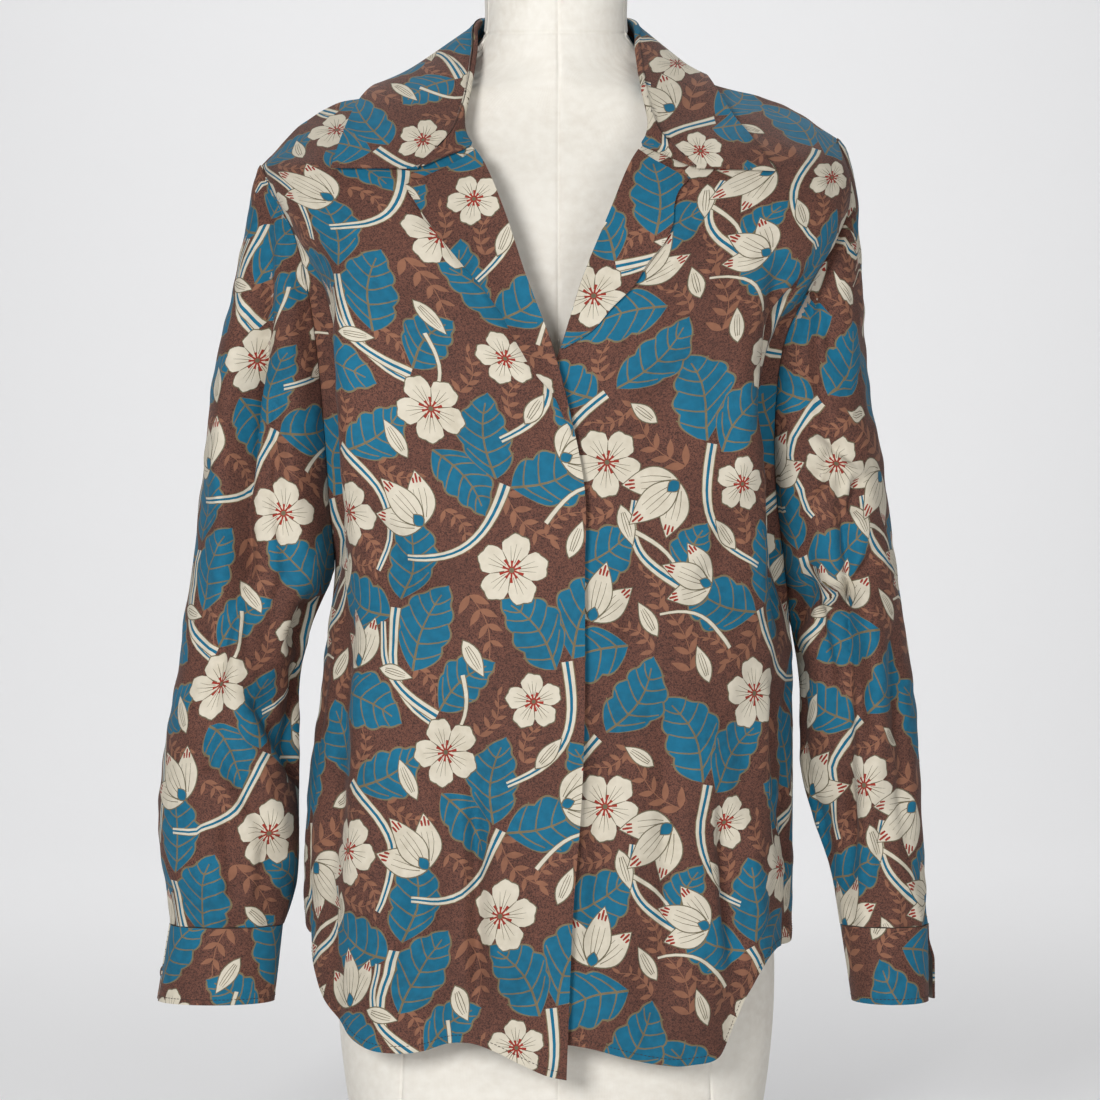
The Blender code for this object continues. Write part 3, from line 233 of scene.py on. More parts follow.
def make_form():
    """The cover, with its columns of points along the seams."""
    depth, width = FORM_SEAM
    close = np.array((-2.0, -1.2, -0.6, 0.0, 0.6, 1.2, 2.0)) * width
    dip, top = NECK_SEAM[1], FORM[-1][0]
    between = np.linspace(0, 1, FORM_SIDES // 6)[1:-1]
    columns = []
    for k in range(6):
        columns += [(k, 0.0, step) for step in close[3:]]
        columns += [(k, share, 0.0) for share in between]
        columns += [(k + 1, 0.0, step) for step in close[:3]]
    rows = [(share, 0.0) for share in np.linspace(0, 1, FORM_ROWS)[:-1] * 0.985]
    rows += [(1.0, step) for step in close]
    rows += [(1.0 + share, 0.0) for share in np.linspace(0.06, 1, 16)]
    grid = np.empty((len(rows), len(columns), 3))
    groove = np.empty(grid.shape[:2])
    for i, (share, step) in enumerate(rows):
        seam = NECK_SEAM[0]
        height = share * seam if share <= 1 else seam + (share - 1) * (top - seam)
        middle = section(FORM_TABLE, np.array([height]), "z")["half_width"][0]
        angles = form_seams(np.array([height]))[:, 0]
        turn = np.array([angles[k] + (angles[min(k + 1, 6)] - angles[k]) * part + away / middle
                         for k, part, away in columns])
        below = dip * (0.5 + 0.5 * np.cos(turn)) * rise(height, 0.70, seam) * rise(height, top, seam)
        z = np.full(len(turn), height) + step - below
        z = np.clip(z, 0, top)
        row = section(FORM_TABLE, z, "z")
        size = (np.abs(np.sin(turn)) ** row["round"] + np.abs(np.cos(turn)) ** row["round"])
        x = row["half_width"] * np.sin(turn) / size ** (1 / row["round"])
        y = -np.cos(turn) / size ** (1 / row["round"])
        y = np.where(y < 0, y * row["front"], y * row["back"])
        (bust_x, bust_z), spread, height_out = BUST
        bust = height_out * np.exp(-((np.abs(x) - bust_x) ** 2 + (z - bust_z) ** 2) / spread**2)
        y = np.where(y < 0, y - bust * rise(-y, 0.02, 0.08), y)
        grid[i] = np.stack([x, y, z], -1)
        across = np.array([away if part == 0 else 1.0 for _, part, away in columns])
        groove[i] = np.exp(-((across / width) ** 2))
        if share == 1.0:
            groove[i] = np.maximum(groove[i], math.exp(-((step / width) ** 2)))
    return grid, groove


def linked(name, data):
    """A new object in the scene."""
    made = bpy.data.objects.new(name, data)
    bpy.context.scene.collection.objects.link(made)
    return made


def as_object(name, made, *materials):
    """A finished bmesh as an object in the scene."""
    mesh = bpy.data.meshes.new(name)
    made.to_mesh(mesh)
    made.free()
    for finish in materials:
        mesh.materials.append(finish)
    return linked(name, mesh)


def closed_grid(name, points, uv):
    """A tube of rows of points, closed round and capped flat at both ends, with a cloth UV map."""
    rows, columns = points.shape[:2]
    made = bmesh.new()
    layer = made.loops.layers.uv.new("cloth")
    verts = [[made.verts.new(point) for point in row] for row in points]
    for i in range(rows - 1):
        for j in range(columns):
            k = (j + 1) % columns
            face = made.faces.new((verts[i][j], verts[i][k], verts[i + 1][k], verts[i + 1][j]))
            face.smooth = True
            for loop, (a, b) in zip(face.loops, ((i, j), (i, j + 1), (i + 1, j + 1), (i + 1, j))):
                loop[layer].uv = uv[a, b]
    for ring in (verts[0][::-1], verts[-1]):
        cap = made.faces.new(ring)
        for loop in cap.loops:
            loop[layer].uv = loop.vert.co.xy
        bmesh.ops.triangulate(made, faces=[cap])
    return as_object(name, made)


def finish_form():
    """The form, drawn in where the cloth's shoulders lie on it, with its seams sunk into the cover."""
    grid, groove = make_form()
    cloth = bmesh.new()
    for node in ("front_right", "front_left", "back"):
        cloth.from_mesh(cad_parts[node].data)
    tree = BVHTree.FromBMesh(cloth)
    cloth.free()
    high = (grid[..., 2] > FORM_SHOULDERS[0]) & (grid[..., 2] < FORM_SHOULDERS[1])
    grid[high] = kept_off(grid[high], tree, FORM_CLEARANCE, -1)
    across = np.roll(grid, -1, 1) - np.roll(grid, 1, 1)
    up = np.gradient(grid, axis=0)
    out = np.cross(across, up)
    out /= np.maximum(np.linalg.norm(out, axis=-1, keepdims=True), 1e-9)
    out[0, :, 2] = out[-1, :, 2] = 0
    grid = grid - (FORM_SEAM[0] * groove)[..., None] * out
    round_it = np.linalg.norm(np.diff(np.concatenate([grid, grid[:, :1]], 1), axis=1), axis=-1)
    uv = np.zeros((grid.shape[0], grid.shape[1] + 1, 2))
    uv[:, 1:, 0] = round_it.mean(0).cumsum()
    uv[..., 1] = grid[:, :1, 2]
    return closed_grid("linen_form", grid, uv)


form = finish_form()
# Bleached linen: matt and slightly warm, with slubs that break up the weave
form.data.materials.append(woven("linen_bleached", LINEN, LINEN_SHADE, LINEN_THREAD, 0.85, 0.15, 0.6))
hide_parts("dress_form")
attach(form, "root")


# PRINTED CLOTH
# Soft plain-woven viscose about 0.2 mm thick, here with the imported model's wall. It is screen-printed
# on one side with leaves and blossoms on brown, and the paler wrong side shows where it is turned.
CLOTH_WALL = 0.0013
CLOTH_MESH = 0.0038                    # between the points of the cloth, fine enough for its creases
WRONG_SIDE_MESH = 1.6                  # times as far apart on the wrong side
FOLD_MESH = 0.0024                     # where the cloth turns sharply, on both sides
FOLD_TURN = math.cos(math.radians(13))   # of its surface from one such point to the next
NORMAL_STEP = 0.003                    # of share or level, around a point whose normal is measured
BAKE_MARGIN = 0.004                    # round each side of a panel on its second UV map
CLOTH_THREAD = 0.0008                  # coarser than the real 0.35 mm, so that it shows
TILE = (0.250, 0.250)
MOTIF_REACH = 0.2                      # more than any motif is long
PRINT_MOTIFS = (
    # kind, x, y, turn, size, bend: millimetres and degrees anticlockwise from straight up
    ("sprig", 180, 195, 107, 30, -6),
    ("sprig", 221, 127, 97, 30, -6),
    ("sprig", 74, 227, 25, 30, 6),
    ("sprig", 60, 141, 56, 30, 6),
    ("sprig", 0, 148, 56, 30, 6),
    ("sprig", 5, 179, 26, 30, 6),
    ("sprig", 154, 45, 156, 30, 6),
    ("sprig", 205, 220, 13, 30, -6),
    ("sprig", 134, 160, 149, 30, 6),
    ("sprig", 107, 246, 24, 32, -6),
    ("sprig", 88, 171, 136, 45, -6),
    ("sprig", 232, 201, 113, 30, -6),
    ("sprig", 204, 143, 157, 30, 6),
    ("sprig", 28, 134, 22, 45, 6),
    ("sprig", 115, 98, 162, 48, 6),
    ("sprig", 24, 33, 47, 48, -6),
    ("leaf", 40, 52, 28, 71, 9),
    ("leaf", 137, 204, 146, 59, 6),
    ("leaf", 158, 42, 24, 69, 6),
    ("leaf", 232, 27, 110, 69, 6),
    ("leaf", 52, 44, -38, 65, -8),
    ("leaf", 176, 82, -62, 69, 8),
    ("leaf", 168, 94, 4, 67, -7),
    ("leaf", 84, 176, 67, 69, -8),
    ("leaf", 94, 182, 6, 64, 7),
    ("leaf", 216, 214, -32, 65, 8),
    ("leaf", 204, 206, 60, 60, -6),
    ("leaf", 138, 14, 50, 55, 6),
    ("leaf", 22, 194, -22, 52, -5),
    ("stem", 44, 50, -150, 98, 28),
    ("stem", 172, 88, 150, 100, -26),
    ("stem", 88, 178, -120, 92, 24),
    ("stem", 210, 210, 172, 96, 24),
    ("stem", 140, 10, -28, 80, 18),
    ("stem", 20, 196, 24, 70, -18),
    ("stalk", 60, 150, 70, 60, 14),
    ("stalk", 236, 110, -150, 64, -14),
    ("stalk", 120, 40, 200, 54, 12),
    ("bud", 3, 64, 58, 28, 0),
    ("bud", 43, 124, 19, 30, 0),
    ("bud", 120, 66, 150, 32, 0),
    ("bud", 156, 198, -24, 33, 0),
    ("bud", 4, 158, 30, 30, 0),
    ("bud", 226, 130, -164, 32, 0),
    ("bud", 66, 222, 40, 30, 0),
    ("bud", 186, 44, 104, 29, 0),
    ("blossom", 68, 21, 67, 21, 0),
    ("blossom", 84, 116, 10, 27, 0),
    ("blossom", 216, 160, 34, 26, 0),
    ("blossom", 132, 234, 50, 26, 0),
    ("cup", 20, 22, 130, 50, 0),
    ("cup", 150, 148, -40, 48, 0),
    ("cup", 204, 44, -15, 46, 0),
    ("cup", 46, 196, 70, 43, 0),
)
GROUND, TEAL, GOLD, CREAM, TAN, RUST, OLIVE = range(7)


def turned(points, x, y, degrees):
    """Flat points turned anticlockwise about the origin and moved to a place."""
    angle = math.radians(degrees)
    c, s = math.cos(angle), math.sin(angle)
    px, py = points[:, 0], points[:, 1]
    return np.stack([x + px * c - py * s, y + px * s + py * c], -1)


def ribbon(path, widths):
    """A band along a path."""
    along = np.gradient(path, axis=0)
    side = np.stack([-along[:, 1], along[:, 0]], -1)
    side /= np.maximum(np.linalg.norm(side, axis=1, keepdims=True), 1e-9)
    half = np.asarray(widths)[:, None] / 2
    return np.concatenate([path + side * half, (path - side * half)[::-1]])


def leaf(length, bend):
    """A lobed leaf with its tip up: outline, blade and veins."""
    t = np.linspace(0, 1, 25)
    middle = np.stack([bend * np.sin(math.pi * t), length * t], -1)
    lobes = 0.80 + 0.20 * np.abs(np.sin(math.pi * 4 * t**1.1)) ** 0.7
    half = 0.33 * length * np.sin(math.pi * t**0.72) ** 0.8 * lobes

    def blade(inset):
        h = np.maximum(half - inset, 0)[:, None]
        lift = 0.10 * length * (h / length / 0.33)
        left = middle + np.concatenate([-h, lift], 1)
        right = middle + np.concatenate([h, lift], 1)
        return np.concatenate([left, right[::-1][1:-1]])

    parts = [(GOLD, blade(0)), (TEAL, blade(1.4))]
    parts.append((GOLD, ribbon(middle[:24:3], np.linspace(1.9, 1.0, 8))))
    for share in (0.16, 0.32, 0.48, 0.64, 0.78):
        i = int(share * 24)
        for sign in (-1, 1):
            reach = half[min(i + 2, 24)] * 0.93
            q = np.linspace(0, 1, 4)[:, None]
            end = np.array([[sign * reach, 0.22 * length * (1 - share * 0.5)]])
            path = middle[i] + end * q + np.array([[0, -1.4]]) * np.sin(math.pi * q)
            parts.append((GOLD, ribbon(path, (1.3, 1.1, 1.0, 0.8))))
    return parts


def blossom(size, bend):
    """An open flower of five notched petals around a rust centre."""
    a = np.arange(60) * 2 * math.pi / 60
    r = size * (0.60 + 0.40 * np.abs(np.cos(2.5 * a)) ** 0.55) * (1 + 0.035 * np.sin(15 * a))
    ring = np.stack([r * np.sin(a), r * np.cos(a)], -1)
    parts = [(OLIVE, ring), (CREAM, ring * (1 - 0.9 / size))]
    for k in range(5):
        for off, reach, width in ((36, 0.58, 0.9), (0, 0.72, 0.5), (-13, 0.66, 0.45), (13, 0.66, 0.45)):
            b = math.radians(72 * k + off)
            q = np.linspace(0.2, reach, 3)[:, None] * size
            path = q * np.array([[math.sin(b), math.cos(b)]])
            parts.append((OLIVE, ribbon(path, (width, width * 0.8, width * 0.4))))
    for k in range(10):
        b = math.radians(36 * k + 8)
        q = np.linspace(0.05, 0.34 if k % 2 else 0.26, 3)[:, None] * size
        parts.append((RUST, ribbon(q * np.array([[math.sin(b), math.cos(b)]]), (1.6, 1.3, 2.2))))
    a = np.arange(8) * math.pi / 4
    parts.append((OLIVE, np.stack([np.sin(a), np.cos(a)], -1) * 0.075 * size))
    return parts


def almond(length, width, steps=9):
    """A pointed oval that stands on the origin."""
    t = np.linspace(0, 1, steps)
    half = width / 2 * np.sin(math.pi * t**0.85)
    middle = np.stack([0 * t, length * t], -1)
    left = middle - np.stack([half, 0 * t], -1)
    right = middle + np.stack([half, 0 * t], -1)
    return np.concatenate([left, right[::-1][1:-1]])


def cup(size, bend):
    """A half-open flower from the side: three petals, with rust at their tips."""
    parts = []
    for lean, x, length in ((34, 1.5, 0.86), (-34, -1.5, 0.86), (0, 0, 1.0)):
        petal = turned(almond(length * size, 0.46 * size, 13), x, 0, -lean)
        inner = turned(almond(length * size - 2.4, 0.46 * size - 1.7, 13), x, 0, -lean)
        inner = inner + turned(np.array([[0, 1.2]]), 0, 0, -lean)
        parts += [(OLIVE, petal), (CREAM, inner)]
        for off in (-0.09, 0, 0.09):
            q = np.linspace(0.14, 0.66, 4)[:, None]
            path = np.concatenate([off * size * np.sin(math.pi * q * 0.9), q * length * size], 1)
            parts.append((OLIVE, turned(ribbon(path, (0.6, 0.5, 0.4, 0.3)), x, 0, -lean)))
        for off in (-0.055, 0, 0.055):
            q = np.linspace(0.76, 0.93 if off == 0 else 0.86, 3)[:, None]
            path = np.concatenate([off * size + 0 * q, q * length * size], 1)
            parts.append((RUST, turned(ribbon(path, (1.1, 1.7, 1.3)), x, 0, -lean)))
    calyx = almond(0.26 * size, 0.20 * size)
    parts += [(GOLD, calyx), (TEAL, almond(0.26 * size - 2, 0.20 * size - 1.6) + np.array([[0, 1.0]]))]
    return parts


def stem(size, bend):
    """Two curved stems side by side, with a teal stripe between them."""
    t = np.linspace(0, 1, 15)
    path = np.stack([bend * np.sin(math.pi * t * 0.9), size * t], -1)
    taper = 1.0 - 0.45 * t
    return [
        (GOLD, ribbon(path, 9.4 * taper)),
        (CREAM, ribbon(path, 7.8 * taper)),
        (TEAL, ribbon(path, 2.4 * taper)),
    ]


def stalk(size, bend):
    """One thin cream stem."""
    t = np.linspace(0, 1, 11)
    path = np.stack([bend * np.sin(math.pi * t * 0.9), size * t], -1)
    taper = 1.0 - 0.5 * t
    return [(OLIVE, ribbon(path, 4.4 * taper)), (CREAM, ribbon(path, 3.0 * taper))]


def bud(size, bend):
    """A closed cream bud with three veins."""
    parts = [(OLIVE, almond(size, 0.42 * size)),
             (CREAM, almond(size - 2.4, 0.42 * size - 1.7) + np.array([[0, 1.2]]))]
    for x in (-0.07, 0.07, 0):
        q = np.linspace(0.2, 0.78, 4)[:, None]
        path = np.concatenate([x * size * np.sin(math.pi * q), q * size], 1)
        parts.append((OLIVE, ribbon(path, (0.6, 0.5, 0.5, 0.3))))
    return parts


def sprig(size, bend):
    """Small tan leaves in pairs along a thin stalk."""
    t = np.linspace(0, 1, 9)
    path = np.stack([bend * np.sin(math.pi * t), size * t], -1)
    parts = [(TAN, ribbon(path, np.full(9, 0.7)))]
    for i, share in enumerate((0.10, 0.32, 0.54, 0.76)):
        at = path[int(share * 8)]
        long = size * (0.34 - 0.04 * i)
        for lean in (-48, 48):
            parts.append((TAN, turned(almond(long, 0.36 * long, 7), at[0], at[1], lean)))
    parts.append((TAN, turned(almond(0.24 * size, 0.09 * size, 7), path[-1][0], path[-1][1], 0)))
    return parts


DRAWN = {"leaf": leaf, "blossom": blossom, "cup": cup, "stem": stem, "stalk": stalk, "bud": bud,
         "sprig": sprig}


def print_over(low, high):
    """The print's shapes that reach into a rectangle of cloth, in metres, lowest layer first."""
    shapes = []
    first = np.floor((np.array(low) - MOTIF_REACH) / TILE).astype(int)
    last = np.ceil((np.array(high) + MOTIF_REACH) / TILE).astype(int) + 1
    for kind, x, y, turn, size, bend in PRINT_MOTIFS:
        for colour, outline in DRAWN[kind](size, bend):
            flat = turned(outline, x, y, turn) / 1000
            for i in range(first[0], last[0]):
                for j in range(first[1], last[1]):
                    moved = flat + np.array([[i * TILE[0], (j + 0.5 * (i % 2)) * TILE[1]]])
                    if (moved.max(0) > low).all() and (moved.min(0) < high).all():
                        shapes.append((colour, moved))
    return shapes


INKS = (
    # finish, colour, the same ink where it lies thinner
    ("viscose_brown_ground", "#70473A", "#5E3B31"),
    ("viscose_teal_ink", "#0D6989", "#0B5873"),
    ("viscose_gold_outline", "#7A6D51", "#685D45"),
    ("viscose_cream_ink", "#D3CBBA", "#C2B9A6"),
    ("viscose_tan_ink", "#8F614A", "#7C5340"),
    ("viscose_rust_ink", "#982E21", "#84291E"),
    ("viscose_olive_vein", "#6E6650", "#5F5845"),
    ("viscose_wrong_side", "#B09C8C", "#8E8E88"),
)
GROUND_HATCH = ("#32221E", 850.0)
cloth_inks = [
    woven(name, colour, shade, CLOTH_THREAD, 0.78, 0.05, 0.5, None if number else GROUND_HATCH)
    for number, (name, colour, shade) in enumerate(INKS)
]


def flat_pattern(surface, shares, levels, origin):
    """A piece laid flat: a grid of shares and levels, and how far across and up the cloth each lies."""
    share, level = np.meshgrid(np.linspace(*shares, 81), np.linspace(*levels, 121))
    points = surface(share, level)
    u = np.pad(np.linalg.norm(np.diff(points, axis=1), axis=-1).cumsum(1), ((0, 0), (1, 0)))
    v = np.pad(np.linalg.norm(np.diff(points, axis=0), axis=-1).cumsum(0), ((1, 0), (0, 0)))
    column = np.abs(share[0] - origin[0]).argmin()
    row = np.abs(level[:, 0] - origin[1]).argmin()
    return share, level, u - u[:, [column]], v - v[[row]]


def on_pattern(pattern, share, level):
    """Where points of the cloth lie on its flat pattern."""
    shares, levels = pattern[0][0], pattern[1][:, 0]
    j = np.clip((share - shares[0]) / (shares[1] - shares[0]), 0, len(shares) - 1.001)
    i = np.clip((level - levels[0]) / (levels[1] - levels[0]), 0, len(levels) - 1.001)
    i0, j0 = i.astype(int), j.astype(int)
    s, t = j - j0, i - i0
    spots = []
    for values in pattern[2:]:
        low = values[i0, j0] * (1 - s) + values[i0, j0 + 1] * s
        high = values[i0 + 1, j0] * (1 - s) + values[i0 + 1, j0 + 1] * s
        spots.append(low * (1 - t) + high * t)
    return np.stack(spots, -1)


def from_pattern(pattern, spots):
    """The share and level of spots on the flat pattern."""
    share, level, u, v = pattern
    rows, columns = share.shape
    flat = np.stack([u.ravel(), v.ravel(), 0 * u.ravel()], -1)
    a = (np.arange(rows - 1)[:, None] * columns + np.arange(columns - 1)).ravel()
    quads = np.stack([a, a + 1, a + columns + 1, a + columns], -1)
    triangles = np.concatenate([quads[:, :3], quads[:, [0, 2, 3]]])
    tree = BVHTree.FromPolygons(flat.tolist(), triangles.tolist())
    found = [tree.find_nearest((x, y, 0)) for x, y in spots]
    corners = triangles[[near[2] for near in found]]
    near = np.array([near[0] for near in found])[:, :2]
    p, q, r = (flat[corners[:, k], :2] for k in range(3))
    area = np.cross(q - p, r - p)
    second = np.cross(near - p, r - p) / area
    third = np.cross(q - p, near - p) / area
    weights = np.stack([1 - second - third, second, third], -1)
    return [(values.ravel()[corners] * weights).sum(1) for values in (share, level)]


def inside(spots, outline, margin):
    """Which spots lie inside an outline and further than a margin from its points."""
    kept = []
    x1, y1 = outline.T
    x2, y2 = np.roll(outline, -1, 0).T
    for part in np.array_split(spots, len(spots) // 2000 + 1):
        x, y = part[:, :1], part[:, 1:]
        crossed = ((y1 > y) != (y2 > y)) & (x < (x2 - x1) * (y - y1) / (y2 - y1 + 1e-15) + x1)
        clear = ((x - x1) ** 2 + (y - y1) ** 2).min(1) > margin**2
        kept.append((crossed.sum(1) % 2 == 1) & clear)
    return np.concatenate(kept)


def staggered(outline, spacing):
    """Points in even rows inside an outline."""
    low, high = outline.min(0), outline.max(0)
    rows = np.arange(low[1], high[1], spacing * 0.9)
    columns = np.arange(low[0], high[0], spacing)
    x, y = np.meshgrid(columns, rows)
    x = x + (np.arange(len(rows))[:, None] % 2) * spacing / 2
    spots = np.stack([x.ravel(), y.ravel()], -1)
    return spots[inside(spots, outline, 0.55 * spacing)]


def triangulated(outline, spots, shapes):
    """The flat pattern as triangles that follow its outline and the print: points, corners and inks."""
    points, faces = [*outline], [list(range(len(outline)))]
    for _, shape in shapes:
        x, y = shape.T
        if (x * np.roll(y, -1) - y * np.roll(x, -1)).sum() < 0:
            shape = shape[::-1]
        faces.append(list(range(len(points), len(points) + len(shape))))
        points += [*shape]
    points += [*spots]
    done = delaunay_2d_cdt([Vector(p) for p in points], [], faces, 0, 1e-7, True)
    corners, inks = [], []
    for face, of in zip(done[2], done[5]):
        if 0 in of:
            top = max(of)
            corners.append(face)
            inks.append(shapes[top - 1][0] if top else GROUND)
    corners, inks = np.array(corners), np.array(inks)
    used, corners = np.unique(corners, return_inverse=True)
    flat = np.array([done[0][k][:] for k in used])
    first = [min(done[3][k], default=-1) for k in used]
    return flat, corners.reshape(-1, 3), inks, np.array(first)


def border(corners):
    """The corners along the open edge of a set of triangles, in order."""
    edges = {(a, b) for tri in corners.tolist() for a, b in zip(tri, tri[1:] + tri[:1])}
    after = {a: b for a, b in edges if (b, a) not in edges}
    ring = [next(iter(after))]
    while after[ring[-1]] != ring[0]:
        ring.append(after[ring[-1]])
    return np.array(ring)


def unseamed(offsets, share, level):
    """Leaves the wall of a panel as it is at its edges."""
    return offsets


def cut_cloth(name, surface, shares, foot, head, origin, outwards, shift, seamed=unseamed,
              spacing=CLOTH_MESH, wall=CLOTH_WALL):
    """A panel cut from the printed cloth: the piece, its flat size and its flat area.

    It has both faces and the turned edge between them. surface gives a point at a share and a level,
    foot and head its lowest and highest level at a share. shift moves the print on it, and seamed
    straightens the wall where it meets the next panel.
    """
    shift = np.array(shift)
    ends = np.linspace(*shares, 60)
    low, high = foot(ends).min(), head(ends).max()
    pattern = flat_pattern(surface, shares, (low, high), origin)

    def edge(share, level):
        """Even steps along one edge, without its last point."""
        spots = on_pattern(pattern, share, level)
        long = np.linalg.norm(np.diff(spots, axis=0), axis=1)
        at = np.concatenate([[0], long.cumsum()])
        even = np.linspace(0, at[-1], max(2, int(at[-1] / (0.8 * spacing))) + 1)[:-1]
        return np.stack([np.interp(even, at, share), np.interp(even, at, level)], -1)

    fine = np.linspace(*shares, 300)
    up = np.linspace(0, 1, 300)
    first, last = np.full(300, shares[0]), np.full(300, shares[1])
    known = np.concatenate([
        edge(fine, foot(fine)),
        edge(last, foot(last) + (head(last) - foot(last)) * up),
        edge(fine[::-1], head(fine[::-1])),
        edge(first, head(first) + (foot(first) - head(first)) * up),
    ])
    outline = on_pattern(pattern, known[:, 0], known[:, 1])
    shapes = print_over(outline.min(0) + shift, outline.max(0) + shift)
    shapes = [(ink, shape - shift) for ink, shape in shapes]

    def placed(spots, known, ids):
        """The share and level of spots on the pattern, exact for those whose ids are known."""
        share, level = from_pattern(pattern, spots)
        exact = (ids >= 0) & (ids < len(known))
        share[exact], level[exact] = known[ids[exact]].T
        return share, level

    def normal_at(share, level):
        """The panel's normals, measured a little inside its edges."""
        s = np.clip(share, shares[0] + 2 * NORMAL_STEP, shares[1] - 2 * NORMAL_STEP)
        v = np.clip(level, foot(s) + NORMAL_STEP, head(s) - NORMAL_STEP)
        return normals(surface, s, v, NORMAL_STEP / 2) * outwards

    # Closer points where the cloth turns sharply
    close = staggered(outline, FOLD_MESH)
    share, level = from_pattern(pattern, close)
    beside = share + FOLD_MESH * (shares[1] - shares[0]) / np.ptp(outline[:, 0])
    above = level + FOLD_MESH * (high - low) / np.ptp(outline[:, 1])
    here = normal_at(share, level)
    turns = [(here * normal_at(*there)).sum(-1) for there in ((beside, level), (share, above))]
    close = close[np.minimum(*turns) < FOLD_TURN]

    # The printed face follows the motifs; the wrong side is coarser, and shares its edge
    flat, corners, inks, first = triangulated(
        outline, np.concatenate([staggered(outline, spacing), close]), shapes)
    ring = border(corners)
    back_flat, back_corners, _, back_first = triangulated(
        flat[ring], np.concatenate([staggered(flat[ring], WRONG_SIDE_MESH * spacing), close]), [])
    share, level = placed(flat, known, first)
    top = surface(share, level)
    out = normal_at(share, level)
    back_share, back_level = placed(back_flat, np.stack([share[ring], level[ring]], -1), back_first)
    back_out = normal_at(back_share, back_level)
    under = surface(back_share, back_level) + seamed(-back_out * wall, back_share, back_level)

    # The turned edge has the ink of the face beside it
    matched = np.empty(len(ring), int)
    on_ring = (back_first >= 0) & (back_first < len(ring))
    matched[back_first[on_ring]] = np.flatnonzero(on_ring)
    rim, rim_ink = [], []
    count = len(top)
    owner = {pair: ink for tri, ink in zip(corners.tolist(), inks.tolist())
             for pair in zip(tri, tri[1:] + tri[:1])}
    for k in range(len(ring)):
        a, b = ring[k], ring[(k + 1) % len(ring)]
        c, d = count + matched[(k + 1) % len(ring)], count + matched[k]
        rim += [(b, a, d), (b, d, c)]
        rim_ink += [owner[a, b]] * 2
    points = np.concatenate([top, under])
    faces = np.concatenate([corners, back_corners[:, ::-1] + count, np.array(rim)])
    a, b, c = (points[corners[:, k]] for k in range(3))
    if (np.cross(b - a, c - a) * out[corners[:, 0]]).sum() < 0:
        faces = faces[:, ::-1]

    mesh = bpy.data.meshes.new(name)
    mesh.from_pydata(points.tolist(), [], faces.tolist())
    for ink in cloth_inks:
        mesh.materials.append(ink)
    slots = np.concatenate([inks, np.full(len(back_corners), len(cloth_inks) - 1), rim_ink])
    mesh.polygons.foreach_set("material_index", slots.astype(np.int32))
    mesh.polygons.foreach_set("use_smooth", np.ones(len(faces), bool))

    # Smooth normals of the surface itself, and square ones on the edge
    vertex_normals = np.concatenate([out, -back_out])
    corner_normals = vertex_normals[faces]
    sides = points[faces]
    flat_normals = np.cross(sides[:, 1] - sides[:, 0], sides[:, 2] - sides[:, 0])
    flat_normals /= np.maximum(np.linalg.norm(flat_normals, axis=1, keepdims=True), 1e-12)
    edge_faces = len(corners) + len(back_corners)
    corner_normals[edge_faces:] = flat_normals[edge_faces:, None]

    # One UV map for the weave, in metres, and one with both faces side by side
    uv = np.concatenate([flat, back_flat])[faces].reshape(-1, 2)
    cloth_map = mesh.uv_layers.new(name="cloth")
    cloth_map.uv.foreach_set("vector", (uv + shift).astype(np.float32).ravel())
    bake = mesh.uv_layers.new(name="OFBake")
    low, size = outline.min(0) - BAKE_MARGIN, np.ptp(outline, axis=0) + 2 * BAKE_MARGIN
    island = np.zeros((len(faces), 3, 2))
    island[len(corners):len(corners) + len(back_corners), :, 0] = size[0]
    apart = (uv - low) + island.reshape(-1, 2)
    bake.uv.foreach_set("vector", (apart / max(2 * size[0], size[1])).astype(np.float32).ravel())
    mesh.normals_split_custom_set(corner_normals.reshape(-1, 3).tolist())
    x, y = outline.T
    area = abs((x * np.roll(y, -1) - y * np.roll(x, -1)).sum()) / 2
    return linked(name, mesh), tuple(np.ptp(outline, axis=0)), area


